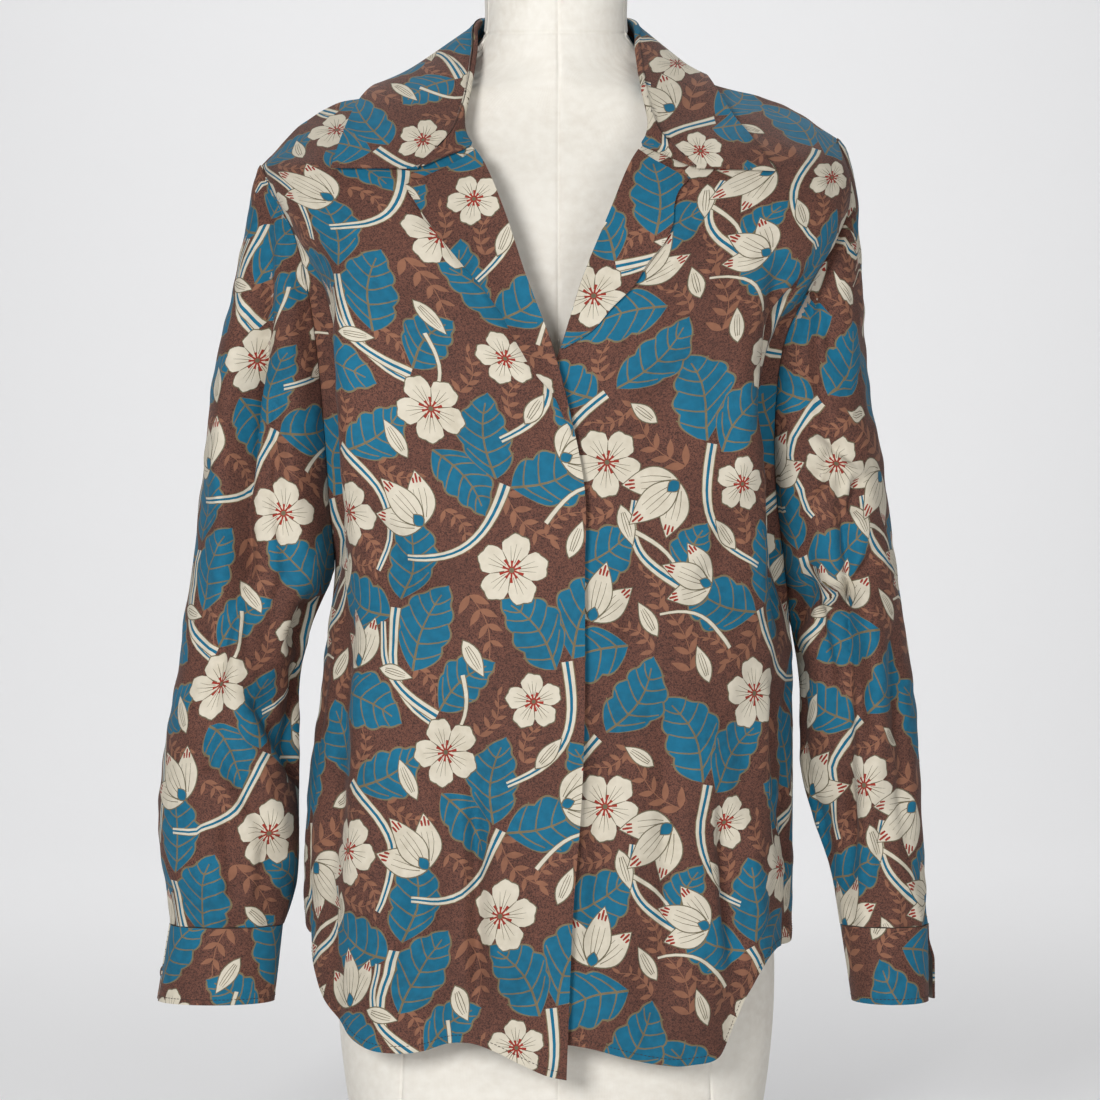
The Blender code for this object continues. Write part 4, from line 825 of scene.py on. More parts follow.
# FRONTS
# Two fronts cut from the printed cloth, sewn to the back at the sides and shoulders. Their front edges
# are turned back at the neck, and the right one laps over the left with its buttons hidden.
SEAM_GAP = 0.0003        # between two pieces that are sewn together
LAYER_GAP = 0.0006       # between a layer and the panel it lies on
ARMPIT_RIGHT = 0.441
ARMPIT_LEFT = 0.400
SHOULDER_TOP = 0.838
FRONT_COLUMNS = ("level", "in_x", "in_y", "in_z", "out_x", "out_y", "out_z", "round")
RIGHT_FRONT = (
    (0.050, -0.0065, -0.1480, 0.050, 0.1870, 0.0000, 0.050, 2.5),
    (0.120, -0.0090, -0.1475, 0.120, 0.1885, 0.0000, 0.120, 2.5),
    (0.200, -0.0125, -0.1465, 0.200, 0.1905, 0.0000, 0.200, 2.5),
    (0.270, -0.0180, -0.1450, 0.270, 0.1880, 0.0000, 0.270, 2.6),
    (0.340, -0.0205, -0.1430, 0.340, 0.1790, 0.0000, 0.340, 2.7),
    (0.400, -0.0207, -0.1410, 0.400, 0.1720, 0.0000, 0.400, 2.8),
    (0.441, -0.0207, -0.1400, 0.441, 0.1680, 0.0000, 0.441, 2.8),
    (0.500, -0.0205, -0.1390, 0.500, 0.1705, -0.0230, 0.490, 2.9),
    (0.545, -0.0125, -0.1380, 0.545, 0.1735, -0.0340, 0.540, 3.0),
    (0.600, 0.0015, -0.1360, 0.600, 0.1780, -0.0400, 0.595, 3.0),
    (0.660, 0.0235, -0.1260, 0.660, 0.1865, -0.0410, 0.655, 2.9),
    (0.700, 0.0365, -0.1150, 0.700, 0.1955, -0.0370, 0.690, 2.8),
    (0.740, 0.0525, -0.0970, 0.739, 0.2075, -0.0280, 0.716, 2.7),
    (0.765, 0.0665, -0.0790, 0.762, 0.2155, -0.0190, 0.732, 2.6),
    (0.790, 0.0690, -0.0540, 0.786, 0.2200, -0.0105, 0.741, 2.4),
    (0.815, 0.0670, -0.0270, 0.813, 0.2222, -0.0050, 0.7465, 2.2),
    (0.838, 0.0660, 0.0000, 0.838, 0.2234, 0.0000, 0.7486, 2.0),
)
LEFT_FRONT = (
    (0.050, -0.0150, -0.1414, 0.050, 0.1770, 0.0000, 0.050, 2.5),
    (0.120, -0.0150, -0.1409, 0.120, 0.1775, 0.0000, 0.120, 2.5),
    (0.200, -0.0150, -0.1399, 0.200, 0.1790, 0.0000, 0.200, 2.5),
    (0.270, -0.0150, -0.1384, 0.270, 0.1800, 0.0000, 0.270, 2.6),
    (0.340, -0.0150, -0.1364, 0.340, 0.1795, 0.0000, 0.340, 2.7),
    (0.400, -0.0150, -0.1344, 0.400, 0.1775, 0.0000, 0.400, 2.8),
    (0.460, -0.0150, -0.1324, 0.460, 0.1715, -0.0240, 0.450, 2.9),
    (0.520, -0.0150, -0.1314, 0.520, 0.1645, -0.0380, 0.505, 3.0),
    (0.560, -0.0130, -0.1309, 0.560, 0.1635, -0.0430, 0.550, 3.0),
    (0.600, 0.0020, -0.1305, 0.600, 0.1680, -0.0460, 0.600, 3.0),
    (0.660, 0.0212, -0.1240, 0.660, 0.1880, -0.0440, 0.650, 2.9),
    (0.700, 0.0378, -0.1145, 0.700, 0.2130, -0.0350, 0.695, 2.8),
    (0.740, 0.0540, -0.0970, 0.739, 0.2215, -0.0240, 0.726, 2.7),
    (0.765, 0.0670, -0.0790, 0.762, 0.2200, -0.0160, 0.745, 2.6),
    (0.790, 0.0685, -0.0540, 0.786, 0.2168, -0.0090, 0.757, 2.4),
    (0.815, 0.0670, -0.0270, 0.813, 0.2142, -0.0045, 0.765, 2.2),
    (0.838, 0.0660, 0.0000, 0.838, 0.2128, 0.0000, 0.769, 2.0),
)
RIGHT_HEM = ((0.0, 0.0742), (0.037, 0.0763), (0.11, 0.0857), (0.173, 0.095), (0.22, 0.1000),
             (0.281, 0.0994), (0.342, 0.0928), (0.432, 0.0909), (0.540, 0.0977), (0.638, 0.1147),
             (0.797, 0.161), (1.0, 0.185))
LEFT_HEM = ((0.0, 0.100), (0.076, 0.0986), (0.132, 0.0957), (0.205, 0.0892), (0.282, 0.0834),
            (0.370, 0.0816), (0.488, 0.096), (0.537, 0.122), (0.597, 0.145), (0.862, 0.165),
            (1.0, 0.185))
SEAM_SHARE = 0.96        # from here to a side seam the wall turns square to it
SEAM_BELOW = 0.008       # and from so far below a shoulder seam
RIDGE_BOW = {"right": (0.0065, 0.0105), "left": (0.0010, 0.0055)}
CROWN_FROM = 0.70        # the level where the crown and the neckline start to show

# Soft folds: where each lies across the panel at its top and at its foot, its top and foot levels, its
# depth inwards and its half width across the panel
RIGHT_FRONT_FOLDS = (
    (0.36, 0.31, 0.42, 0.00, 0.0070, 0.045),
    (0.46, 0.45, 0.36, 0.00, -0.0045, 0.050),
    (0.66, 0.60, 0.48, 0.00, 0.0060, 0.050),
    (0.78, 0.84, 0.40, 0.00, 0.0065, 0.035),
)
LEFT_FRONT_FOLDS = (
    (0.30, 0.26, 0.38, 0.00, 0.0050, 0.045),
    (0.52, 0.50, 0.40, 0.00, 0.0065, 0.050),
    (0.74, 0.70, 0.70, 0.36, 0.0080, 0.035),
    (0.80, 0.76, 0.40, 0.00, 0.0060, 0.040),
)
FOLD_FADE = 0.09         # the length over which a fold starts and ends

# Creases, as seen from the front: the x and z of one end and of the other, how far the middle bows to
# the left, the depth inwards, the half width, and how much of that width the sharper side has
RIGHT_FRONT_CREASES = (
    (-0.186, 0.720, -0.174, 0.400, 0.0, 0.0150, 0.0190, 0.80),  # the hollow beside the armhole
    (-0.160, 0.690, -0.148, 0.440, 0.0, -0.0075, 0.0150, 0.80),
    (-0.159, 0.449, -0.166, 0.199, 0.0, 0.0076, 0.0126, 0.50),  # long soft falls below the arm
    (-0.142, 0.419, -0.150, 0.156, 0.0, -0.0053, 0.0138, 0.70),
    (-0.061, 0.318, -0.057, 0.108, 0.0, 0.0093, 0.0080, 0.69),
    (-0.041, 0.275, -0.037, 0.097, 0.0, -0.0053, 0.0138, 0.80),
    (-0.113, 0.354, -0.122, 0.201, 0.0, 0.0051, 0.0115, 0.60),
    (-0.125, 0.617, -0.074, 0.514, 0.0074, 0.0037, 0.0161, 0.80),  # drags towards the front edge
    (-0.154, 0.514, -0.085, 0.419, -0.0104, 0.0041, 0.0138, 0.70),
    (-0.099, 0.238, -0.115, 0.121, 0.0, 0.0059, 0.0126, 0.60),
)
LEFT_FRONT_CREASES = (
    (0.168, 0.690, 0.162, 0.520, 0.0, 0.0120, 0.0150, 0.80),  # hollows beside the armhole
    (0.158, 0.600, 0.168, 0.380, 0.0044, 0.0120, 0.0140, 0.60),
    (0.135, 0.641, 0.138, 0.449, 0.0, -0.0053, 0.0138, 0.80),
    (0.120, 0.295, 0.131, 0.138, 0.0, 0.0093, 0.0075, 0.73),  # falls towards the hem
    (0.141, 0.273, 0.147, 0.156, 0.0, -0.0053, 0.0115, 0.80),
    (0.032, 0.362, 0.029, 0.130, 0.0, 0.0059, 0.0138, 0.60),
    (0.079, 0.332, 0.084, 0.114, 0.0, 0.0059, 0.0138, 0.60),
    (0.164, 0.389, 0.167, 0.211, 0.0, 0.0085, 0.0103, 0.51),
    (0.105, 0.617, 0.061, 0.514, -0.0074, 0.0037, 0.0161, 0.80),  # drags towards the front edge
    (0.144, 0.515, 0.091, 0.412, 0.0089, 0.0043, 0.0126, 0.70),
    (0.061, 0.449, 0.047, 0.347, 0.0, 0.0037, 0.0138, 0.70),
)
RUMPLES = (
    # waves per metre across and up, phase, height
    (21.0, 9.0, 0.4, 0.00035), (-13.0, 24.0, 1.9, 0.0003), (34.0, -17.0, 3.1, 0.0002),
    (8.0, 38.0, 5.0, 0.0002), (47.0, 29.0, 2.2, 0.00012), (-38.0, 43.0, 0.9, 0.00012),
)
FRONTS = {"right": table(FRONT_COLUMNS, RIGHT_FRONT), "left": table(FRONT_COLUMNS, LEFT_FRONT)}
FRONT_FOLDS = {"right": RIGHT_FRONT_FOLDS, "left": LEFT_FRONT_FOLDS}
FRONT_CREASES = {"right": RIGHT_FRONT_CREASES, "left": LEFT_FRONT_CREASES}
HEMS = {"right": RIGHT_HEM, "left": LEFT_HEM}
SIDES = {"right": -1.0, "left": 1.0}
ARMPITS = {"right": ARMPIT_RIGHT, "left": ARMPIT_LEFT}


def corner(share, exponent):
    """A rounded corner from (0, 1) to (1, 0), as its two coordinates at a share of the way round."""
    angle = share * math.pi / 2
    across, along = np.sin(angle), np.cos(angle)
    size = (np.abs(across) ** exponent + np.abs(along) ** exponent) ** (1 / exponent)
    return across / size, along / size


def folds(rows, at, level):
    """How far the folds push the cloth inwards at a place and level."""
    depth = np.zeros(np.broadcast(at, level).shape)
    for top_at, foot_at, top, foot, most, width in rows:
        along = np.clip((level - foot) / (top - foot), 0, 1)
        middle = foot_at + (top_at - foot_at) * along
        fade = rise(level, top, top - FOLD_FADE)
        if foot > 0:
            fade = fade * rise(level, foot, foot + FOLD_FADE)
        else:
            fade = fade * (1.0 - 0.55 * along)
        depth = depth + most * fade * np.exp(-(((at - middle) / width) ** 2))
    return depth


def ridge_bow(side, along):
    """The height of the shoulder seam over a straight line at a share of its length."""
    whole, halves = RIDGE_BOW[side]
    return whole * np.sin(math.pi * along) - halves * np.sin(2 * math.pi * along)


def front_base(side, share, level):
    """A point of a front, before its folds."""
    row = section(FRONTS[side], level)
    row["out_y"] = np.minimum(row["out_y"], 0)
    across, along = corner(share, row["round"])
    crown = np.clip((level - CROWN_FROM) / (SHOULDER_TOP - CROWN_FROM), 0, 1) ** 2
    x = row["in_x"] + (row["out_x"] - row["in_x"]) * across
    y = row["out_y"] - SEAM_GAP / 2 + (row["in_y"] - row["out_y"]) * along
    z = row["in_z"] + (row["out_z"] - row["in_z"]) * across
    z = z + crown * ridge_bow(side, np.clip(across, 0, 1))
    return np.stack([SIDES[side] * x, y, z], -1)


def normals(surface, share, level, step=0.002):
    """The unit normals of a surface, by differences."""
    across = surface(share + step, level) - surface(share - step, level)
    along = surface(share, level + step) - surface(share, level - step)
    cross = np.cross(across, along)
    return cross / np.maximum(np.linalg.norm(cross, axis=-1, keepdims=True), 1e-12)


def creases(rows, points):
    """How far the creases push the cloth inwards."""
    x, z = points[..., 0], points[..., 2]
    depth = np.zeros(x.shape)
    for x1, z1, x2, z2, bow, most, width, sharp in rows:
        long = math.hypot(x2 - x1, z2 - z1)
        along, up = (x2 - x1) / long, (z2 - z1) / long
        part = ((x - x1) * along + (z - z1) * up) / long
        beside = (z - z1) * along - (x - x1) * up - 4 * bow * part * (1 - part)
        narrow = np.where(beside > 0, width, width * sharp)
        fade = rise(part, 0.0, 0.3) * rise(part, 1.0, 0.7)
        depth = depth + most * fade * np.exp(-((beside / narrow) ** 2))
    return depth


def rumple(points):
    """The cloth's slight unevenness."""
    x, z = points[..., 0] + 0.7 * points[..., 1], points[..., 2] - 0.3 * points[..., 1]
    return sum(high * np.sin(2 * math.pi * (a * x + b * z) + phase) for a, b, phase, high in RUMPLES)


def front(side, share, level, creased=False):
    """A point of a front with its soft folds, and its creases if wanted."""
    out = normals(lambda s, v: front_base(side, s, v), share, level) * SIDES[side]
    depth = folds(FRONT_FOLDS[side], share, level) * rise(share, 0.0, 0.1) * rise(share, 1.0, 0.93)
    points = front_base(side, share, level) - depth[..., None] * out
    if creased:
        depth = creases(FRONT_CREASES[side], points) + rumple(points)
        depth = depth * rise(share, 0.0, 0.06) * rise(share, 1.0, 0.95)
        points = points - depth[..., None] * out
    return points


def square_to(offsets, amount, axis=1):
    """Offsets with less of themselves along an axis, at their own length."""
    flat = offsets.copy()
    flat[..., axis] *= 1 - amount
    long = np.linalg.norm(offsets, axis=-1, keepdims=True)
    return flat * long / np.maximum(np.linalg.norm(flat, axis=-1, keepdims=True), 1e-9)


def body_seamed(offsets, share, level):
    """The wall of a front or the back, square to its side and shoulder seams."""
    return square_to(offsets, np.maximum(rise(np.abs(share), SEAM_SHARE, 1.0),
                                         rise(level, SHOULDER_TOP - SEAM_BELOW, SHOULDER_TOP)))


def along_hem(rows, share):
    """The level of a hem at a share of the way round."""
    rows = np.array(rows)
    return smooth(rows[:, 0], rows[:, 1], np.abs(share))


def straight(level):
    """An edge of a panel that keeps to one level at every share."""
    return lambda share: np.full(np.shape(share), level)


PRINT_SHIFTS = {"right": (0.031, 0.118), "left": (0.164, 0.043)}
for side in SIDES:
    piece, flat, area = cut_cloth(
        "printed_front_" + side, lambda s, v: front(side, s, v, True), (0.0, 1.0),
        lambda s: along_hem(HEMS[side], s), straight(SHOULDER_TOP),
        (0.0, ARMPITS[side]), SIDES[side], PRINT_SHIFTS[side], body_seamed,
    )
    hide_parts("front_" + side)
    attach(piece, "root")


# BACK
# One panel of the same printed cloth between the two side seams. A shallow curve is cut out of its
# top for the neck, and its hem hangs lowest in the middle.
BACK_COLUMNS = ("level", "mid_y", "mid_z", "right_seam_y", "left_seam_y", "round")
BACK = (
    (0.050, 0.1400, 0.050, 0.0000, 0.0000, 2.4),
    (0.120, 0.1395, 0.120, 0.0000, 0.0000, 2.4),
    (0.200, 0.1380, 0.200, 0.0000, 0.0000, 2.4),
    (0.270, 0.1360, 0.270, 0.0000, 0.0000, 2.5),
    (0.340, 0.1330, 0.340, 0.0000, 0.0000, 2.6),
    (0.400, 0.1305, 0.400, 0.0000, 0.0000, 2.7),
    (0.441, 0.1290, 0.441, 0.0000, 0.0190, 2.7),
    (0.500, 0.1280, 0.500, 0.0220, 0.0350, 2.8),
    (0.545, 0.1275, 0.545, 0.0350, 0.0430, 2.8),
    (0.600, 0.1260, 0.600, 0.0440, 0.0480, 2.8),
    (0.660, 0.1210, 0.660, 0.0460, 0.0460, 2.7),
    (0.700, 0.1140, 0.700, 0.0420, 0.0410, 2.6),
    (0.740, 0.1040, 0.742, 0.0320, 0.0300, 2.5),
    (0.765, 0.0960, 0.768, 0.0210, 0.0200, 2.4),
    (0.790, 0.0860, 0.795, 0.0120, 0.0110, 2.3),
    (0.815, 0.0745, 0.820, 0.0050, 0.0045, 2.2),
    (0.838, 0.0640, 0.842, 0.0000, 0.0000, 2.0),
)
BACK_HEM = ((0.0, 0.082), (0.30, 0.082), (0.45, 0.090), (0.54, 0.104), (0.63, 0.126),
            (0.74, 0.148), (0.87, 0.168), (1.0, 0.185))
NECK_POINT = (0.066, 0.0, 0.838)  # where the shoulder seam meets the neckline
NECK_SHARE = 0.19                 # of the back's top edge, from its middle to the neck point
BACK_FOLDS = (
    (-0.62, -0.58, 0.64, 0.00, 0.0080, 0.050),
    (-0.34, -0.36, 0.56, 0.00, 0.0060, 0.050),
    (-0.06, -0.10, 0.44, 0.00, 0.0050, 0.045),
    (0.20, 0.18, 0.50, 0.00, 0.0065, 0.050),
    (0.44, 0.46, 0.60, 0.00, 0.0075, 0.050),
    (0.72, 0.70, 0.66, 0.00, 0.0070, 0.045),
)
BACK_CREASES = (
    (-0.176, 0.640, -0.160, 0.440, 0.0, 0.0083, 0.0120, 0.60),
    (0.170, 0.620, 0.158, 0.430, 0.0, 0.0083, 0.0120, 0.60),
    (-0.130, 0.420, -0.138, 0.180, 0.0, 0.0083, 0.0096, 0.54),
    (-0.064, 0.360, -0.058, 0.110, 0.0, 0.0075, 0.0096, 0.51),
    (0.020, 0.380, 0.026, 0.120, 0.0, 0.0060, 0.0132, 0.60),
    (0.082, 0.410, 0.090, 0.130, 0.0, 0.0083, 0.0096, 0.54),
    (0.144, 0.380, 0.138, 0.190, 0.0, 0.0060, 0.0120, 0.60),
    (-0.150, 0.600, -0.060, 0.520, 0.008, 0.0042, 0.0156, 0.70),
    (0.148, 0.590, 0.070, 0.500, -0.008, 0.0042, 0.0156, 0.70),
    (-0.140, 0.500, -0.050, 0.450, -0.006, 0.0037, 0.0144, 0.70),
    (0.030, 0.560, 0.044, 0.440, 0.0, 0.0033, 0.0168, 0.80),
)
BACK_ROWS = table(BACK_COLUMNS, BACK)
BACK_SHIFT = (0.09, 0.20)
WIDE_MESH = 0.0050                # between the points of the large back and of hidden cloth


def back_half(side, share, level):
    """A point of the back on one side of its middle, before its folds."""
    row = section(BACK_ROWS, level)
    edge = section(FRONTS[side], level)
    seam_y = np.maximum(row[side + "_seam_y"], 0)
    across, along = corner(share, row["round"])
    x = edge["out_x"] * across
    y = seam_y + SEAM_GAP / 2 + (row["mid_y"] - seam_y) * along
    z = row["mid_z"] + (edge["out_z"] - row["mid_z"]) * across
    top = section(BACK_ROWS, SHOULDER_TOP)
    top_edge = section(FRONTS[side], SHOULDER_TOP)
    top_across, top_along = corner(share, top["round"])
    plain = np.stack([
        top_edge["out_x"] * top_across,
        SEAM_GAP / 2 + top["mid_y"] * top_along,
        top["mid_z"] + (top_edge["out_z"] - top["mid_z"]) * top_across,
    ], -1)
    turn = np.clip(share / NECK_SHARE, 0, 1) * math.pi / 2
    neck = np.stack([
        NECK_POINT[0] * np.sin(turn),
        SEAM_GAP / 2 + top["mid_y"] * np.cos(turn),
        NECK_POINT[2] + (top["mid_z"] - NECK_POINT[2]) * np.cos(turn),
    ], -1)
    past = np.clip((share - NECK_SHARE) / (1 - NECK_SHARE), 0, 1)
    ridge_x = NECK_POINT[0] + (top_edge["out_x"] - NECK_POINT[0]) * past
    ridge_z = NECK_POINT[2] + (top_edge["out_z"] - NECK_POINT[2]) * past
    ridge = np.stack([
        ridge_x,
        np.full_like(ridge_x, SEAM_GAP / 2),
        ridge_z + ridge_bow(side, past),
    ], -1)
    wanted = np.where((share < NECK_SHARE)[..., None], neck, ridge)
    crown = np.clip((level - CROWN_FROM) / (SHOULDER_TOP - CROWN_FROM), 0, 1) ** 2
    point = np.stack([x, y, z], -1) + crown[..., None] * (wanted - plain)
    return point * np.array([SIDES[side], 1, 1])


def back_base(share, level):
    """A point of the back: share runs from -1 at the right side to 1 at the left."""
    share, level = np.broadcast_arrays(share, level)
    point = np.empty(share.shape + (3,))
    for side, here in (("right", share < 0), ("left", share >= 0)):
        point[here] = back_half(side, np.abs(share[here]), level[here])
    return point


def back(share, level, creased=False):
    """A point of the back with its soft folds, and its creases if wanted."""
    out = -normals(back_base, share, level)
    depth = folds(BACK_FOLDS, share, level) * rise(np.abs(share), 1.0, 0.93)
    points = back_base(share, level) - depth[..., None] * out
    if creased:
        depth = (creases(BACK_CREASES, points) + rumple(points)) * rise(np.abs(share), 1.0, 0.95)
        points = points - depth[..., None] * out
    return points


piece, flat, area = cut_cloth(
    "printed_back", lambda s, v: back(s, v, True), (-1.0, 1.0),
    lambda s: along_hem(BACK_HEM, s), straight(SHOULDER_TOP),
    (0.0, ARMPIT_LEFT), -1.0, BACK_SHIFT, body_seamed, spacing=WIDE_MESH,
)
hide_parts("back")
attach(piece, "root")


# SLEEVES
# Two long one-piece sleeves, each closed by one seam under the arm, full at the elbow and gathered
# into the cuff. They hang empty.
SLEEVE_COLUMNS = ("level", "outer", "inner", "front", "back", "middle_y", "turn")
RIGHT_SLEEVE = (
    (0.838, 0.2250, 0.2234, 0.0010, 0.0010, 0.0000, 60.0),
    (0.815, 0.2264, 0.2222, 0.0056, 0.0056, 0.0000, 64.0),
    (0.790, 0.2284, 0.2200, 0.0112, 0.0128, 0.0000, 70.0),
    (0.765, 0.2306, 0.2155, 0.0193, 0.0213, 0.0005, 80.0),
    (0.740, 0.2340, 0.2075, 0.0305, 0.0340, 0.0010, 92.0),
    (0.700, 0.2388, 0.1955, 0.0440, 0.0480, 0.0020, 112.0),
    (0.660, 0.2450, 0.1865, 0.0540, 0.0580, 0.0030, 128.0),
    (0.600, 0.2555, 0.1780, 0.0630, 0.0670, 0.0030, 144.0),
    (0.545, 0.2635, 0.1735, 0.0650, 0.0690, 0.0020, 153.0),
    (0.500, 0.2705, 0.1705, 0.0650, 0.0670, 0.0000, 162.0),
    (0.441, 0.2765, 0.1686, 0.0620, 0.0640, -0.0020, 180.0),
    (0.400, 0.2822, 0.1850, 0.0590, 0.0600, -0.0040, 180.0),
    (0.360, 0.2876, 0.1940, 0.0560, 0.0570, -0.0060, 180.0),
    (0.320, 0.2940, 0.1945, 0.0540, 0.0550, -0.0080, 180.0),
    (0.270, 0.3005, 0.1945, 0.0520, 0.0530, -0.0110, 180.0),
    (0.235, 0.2995, 0.1945, 0.0490, 0.0500, -0.0130, 180.0),
    (0.205, 0.2955, 0.1960, 0.0450, 0.0450, -0.0150, 180.0),
    (0.186, 0.2925, 0.2010, 0.0395, 0.0385, -0.0160, 180.0),
    (0.174, 0.2915, 0.2055, 0.0350, 0.0340, -0.0170, 180.0),
)
LEFT_SLEEVE = (
    (0.838, 0.2144, 0.2128, 0.0010, 0.0010, 0.0000, 60.0),
    (0.815, 0.2182, 0.2142, 0.0051, 0.0055, 0.0000, 62.0),
    (0.790, 0.2222, 0.2168, 0.0099, 0.0120, 0.0000, 66.0),
    (0.765, 0.2256, 0.2200, 0.0168, 0.0210, 0.0005, 72.0),
    (0.740, 0.2288, 0.2215, 0.0250, 0.0305, 0.0010, 80.0),
    (0.700, 0.2306, 0.2130, 0.0400, 0.0460, 0.0020, 100.0),
    (0.660, 0.2332, 0.1880, 0.0530, 0.0570, 0.0030, 122.0),
    (0.600, 0.2385, 0.1680, 0.0620, 0.0660, 0.0030, 143.0),
    (0.560, 0.2445, 0.1635, 0.0640, 0.0680, 0.0020, 150.0),
    (0.520, 0.2500, 0.1645, 0.0645, 0.0680, 0.0010, 157.0),
    (0.460, 0.2575, 0.1715, 0.0630, 0.0660, 0.0000, 166.0),
    (0.400, 0.2645, 0.1781, 0.0600, 0.0620, -0.0020, 180.0),
    (0.360, 0.2700, 0.1842, 0.0570, 0.0580, -0.0040, 180.0),
    (0.320, 0.2738, 0.1850, 0.0540, 0.0550, -0.0060, 180.0),
    (0.285, 0.2760, 0.1865, 0.0510, 0.0520, -0.0080, 180.0),
    (0.250, 0.2770, 0.1960, 0.0470, 0.0480, -0.0100, 180.0),
    (0.213, 0.2788, 0.2080, 0.0420, 0.0420, -0.0125, 180.0),
    (0.190, 0.2800, 0.2120, 0.0370, 0.0365, -0.0145, 180.0),
    (0.174, 0.2812, 0.2143, 0.0335, 0.0330, -0.0155, 180.0),
)
RIGHT_SLEEVE_FOLDS = (
    (-0.40, -0.42, 0.66, 0.30, 0.0130, 0.060),
    (-0.68, -0.66, 0.62, 0.36, 0.0060, 0.050),
    (-0.30, -0.78, 0.36, 0.22, 0.0090, 0.055),
    (0.35, 0.40, 0.66, 0.24, 0.0110, 0.065),
    (0.70, 0.66, 0.60, 0.30, 0.0070, 0.055),
)
LEFT_SLEEVE_FOLDS = (
    (-0.52, -0.50, 0.56, 0.26, 0.0110, 0.055),
    (-0.78, -0.74, 0.50, 0.32, 0.0060, 0.050),
    (-0.24, -0.30, 0.42, 0.20, 0.0060, 0.060),
    (0.36, 0.42, 0.64, 0.24, 0.0110, 0.065),
    (0.68, 0.70, 0.56, 0.30, 0.0070, 0.055),
)
GATHERS = 9        # soft pleats where a sleeve is drawn into its cuff
GATHER_DEPTH = 0.0022
GATHER_HEIGHT = 0.045
RIGHT_SLEEVE_CREASES = (
    (-0.220, 0.755, -0.229, 0.568, 0.0, 0.0072, 0.0120, 0.60),
    (-0.226, 0.745, -0.230, 0.330, 0.0, 0.0170, 0.0280, 0.27),  # the long deep fold beside the body
    (-0.242, 0.600, -0.246, 0.330, 0.0, -0.0060, 0.0150, 0.80),
    (-0.234, 0.362, -0.180, 0.262, 0.003, 0.0120, 0.0180, 0.36),  # and the slanting one at its foot
    (-0.226, 0.320, -0.202, 0.225, 0.0, -0.0050, 0.0120, 0.70),
    (-0.258, 0.321, -0.262, 0.287, 0.0, 0.0054, 0.0060, 0.70),
    (-0.178, 0.426, -0.197, 0.374, 0.0, 0.0099, 0.0084, 0.67),  # pinches at the elbow
    (-0.194, 0.388, -0.188, 0.276, 0.0, 0.0090, 0.0072, 0.75),
    (-0.246, 0.268, -0.240, 0.182, 0.0, 0.0054, 0.0108, 0.60),  # above the cuff
    (-0.215, 0.253, -0.221, 0.178, 0.0, 0.0045, 0.0096, 0.60),
    (-0.250, 0.658, -0.256, 0.478, 0.0, -0.0040, 0.0144, 0.80),
    (-0.263, 0.448, -0.267, 0.343, 0.0, 0.0040, 0.0108, 0.70),
)
LEFT_SLEEVE_CREASES = (
    (0.181, 0.556, 0.234, 0.515, 0.0, 0.0072, 0.0096, 0.50),  # crumples in the bend of the arm
    (0.186, 0.493, 0.213, 0.538, 0.0, 0.0081, 0.0084, 0.61),
    (0.228, 0.516, 0.221, 0.478, 0.0, 0.0090, 0.0072, 0.75),
    (0.245, 0.463, 0.191, 0.398, 0.0044, 0.0105, 0.0084, 0.69),
    (0.187, 0.449, 0.175, 0.389, 0.0, 0.0099, 0.0084, 0.67),
    (0.217, 0.200, 0.214, 0.455, 0.0, 0.0150, 0.0260, 0.30),  # the upright fold below them
    (0.234, 0.440, 0.233, 0.240, 0.0, -0.0060, 0.0140, 0.80),
    (0.184, 0.700, 0.182, 0.520, 0.0, 0.0110, 0.0160, 0.60),  # the hollow beside the body
    (0.211, 0.291, 0.217, 0.186, 0.0, 0.0063, 0.0084, 0.60),  # above the cuff
    (0.243, 0.284, 0.240, 0.179, 0.0, 0.0045, 0.0096, 0.60),
    (0.235, 0.643, 0.245, 0.538, 0.0, 0.0045, 0.0132, 0.70),
    (0.202, 0.680, 0.209, 0.583, 0.0, 0.0063, 0.0108, 0.60),
    (0.250, 0.404, 0.252, 0.299, 0.0, 0.0040, 0.0096, 0.60),
)
RIGHT_SLEEVE_BACK_CREASES = (
    (-0.226, 0.640, -0.236, 0.440, 0.0, 0.0083, 0.0108, 0.50),
    (-0.262, 0.470, -0.205, 0.395, 0.006, 0.0090, 0.0096, 0.56),
    (-0.258, 0.400, -0.212, 0.350, -0.004, 0.0067, 0.0084, 0.60),
    (-0.240, 0.330, -0.238, 0.190, 0.0, 0.0060, 0.0108, 0.50),
    (-0.268, 0.300, -0.262, 0.200, 0.0, 0.0037, 0.0096, 0.60),
)
LEFT_SLEEVE_BACK_CREASES = (
    (0.214, 0.650, 0.226, 0.460, 0.0, 0.0075, 0.0108, 0.50),
    (0.250, 0.480, 0.196, 0.410, -0.005, 0.0090, 0.0096, 0.56),
    (0.246, 0.415, 0.205, 0.362, 0.004, 0.0067, 0.0084, 0.60),
    (0.228, 0.340, 0.226, 0.200, 0.0, 0.0060, 0.0108, 0.50),
    (0.252, 0.310, 0.250, 0.210, 0.0, 0.0037, 0.0096, 0.60),
)
SLEEVES = {"right": table(SLEEVE_COLUMNS, RIGHT_SLEEVE), "left": table(SLEEVE_COLUMNS, LEFT_SLEEVE)}
SLEEVE_FOLDS = {"right": RIGHT_SLEEVE_FOLDS, "left": LEFT_SLEEVE_FOLDS}
SLEEVE_CREASES = {
    "right": (RIGHT_SLEEVE_CREASES, RIGHT_SLEEVE_BACK_CREASES),
    "left": (LEFT_SLEEVE_CREASES, LEFT_SLEEVE_BACK_CREASES),
}
SLEEVE_SHIFTS = {"right": (0.202, 0.071), "left": (0.047, 0.156)}
UNDERARM_SEAM = 0.9985   # the share of the way round at which the two edges meet
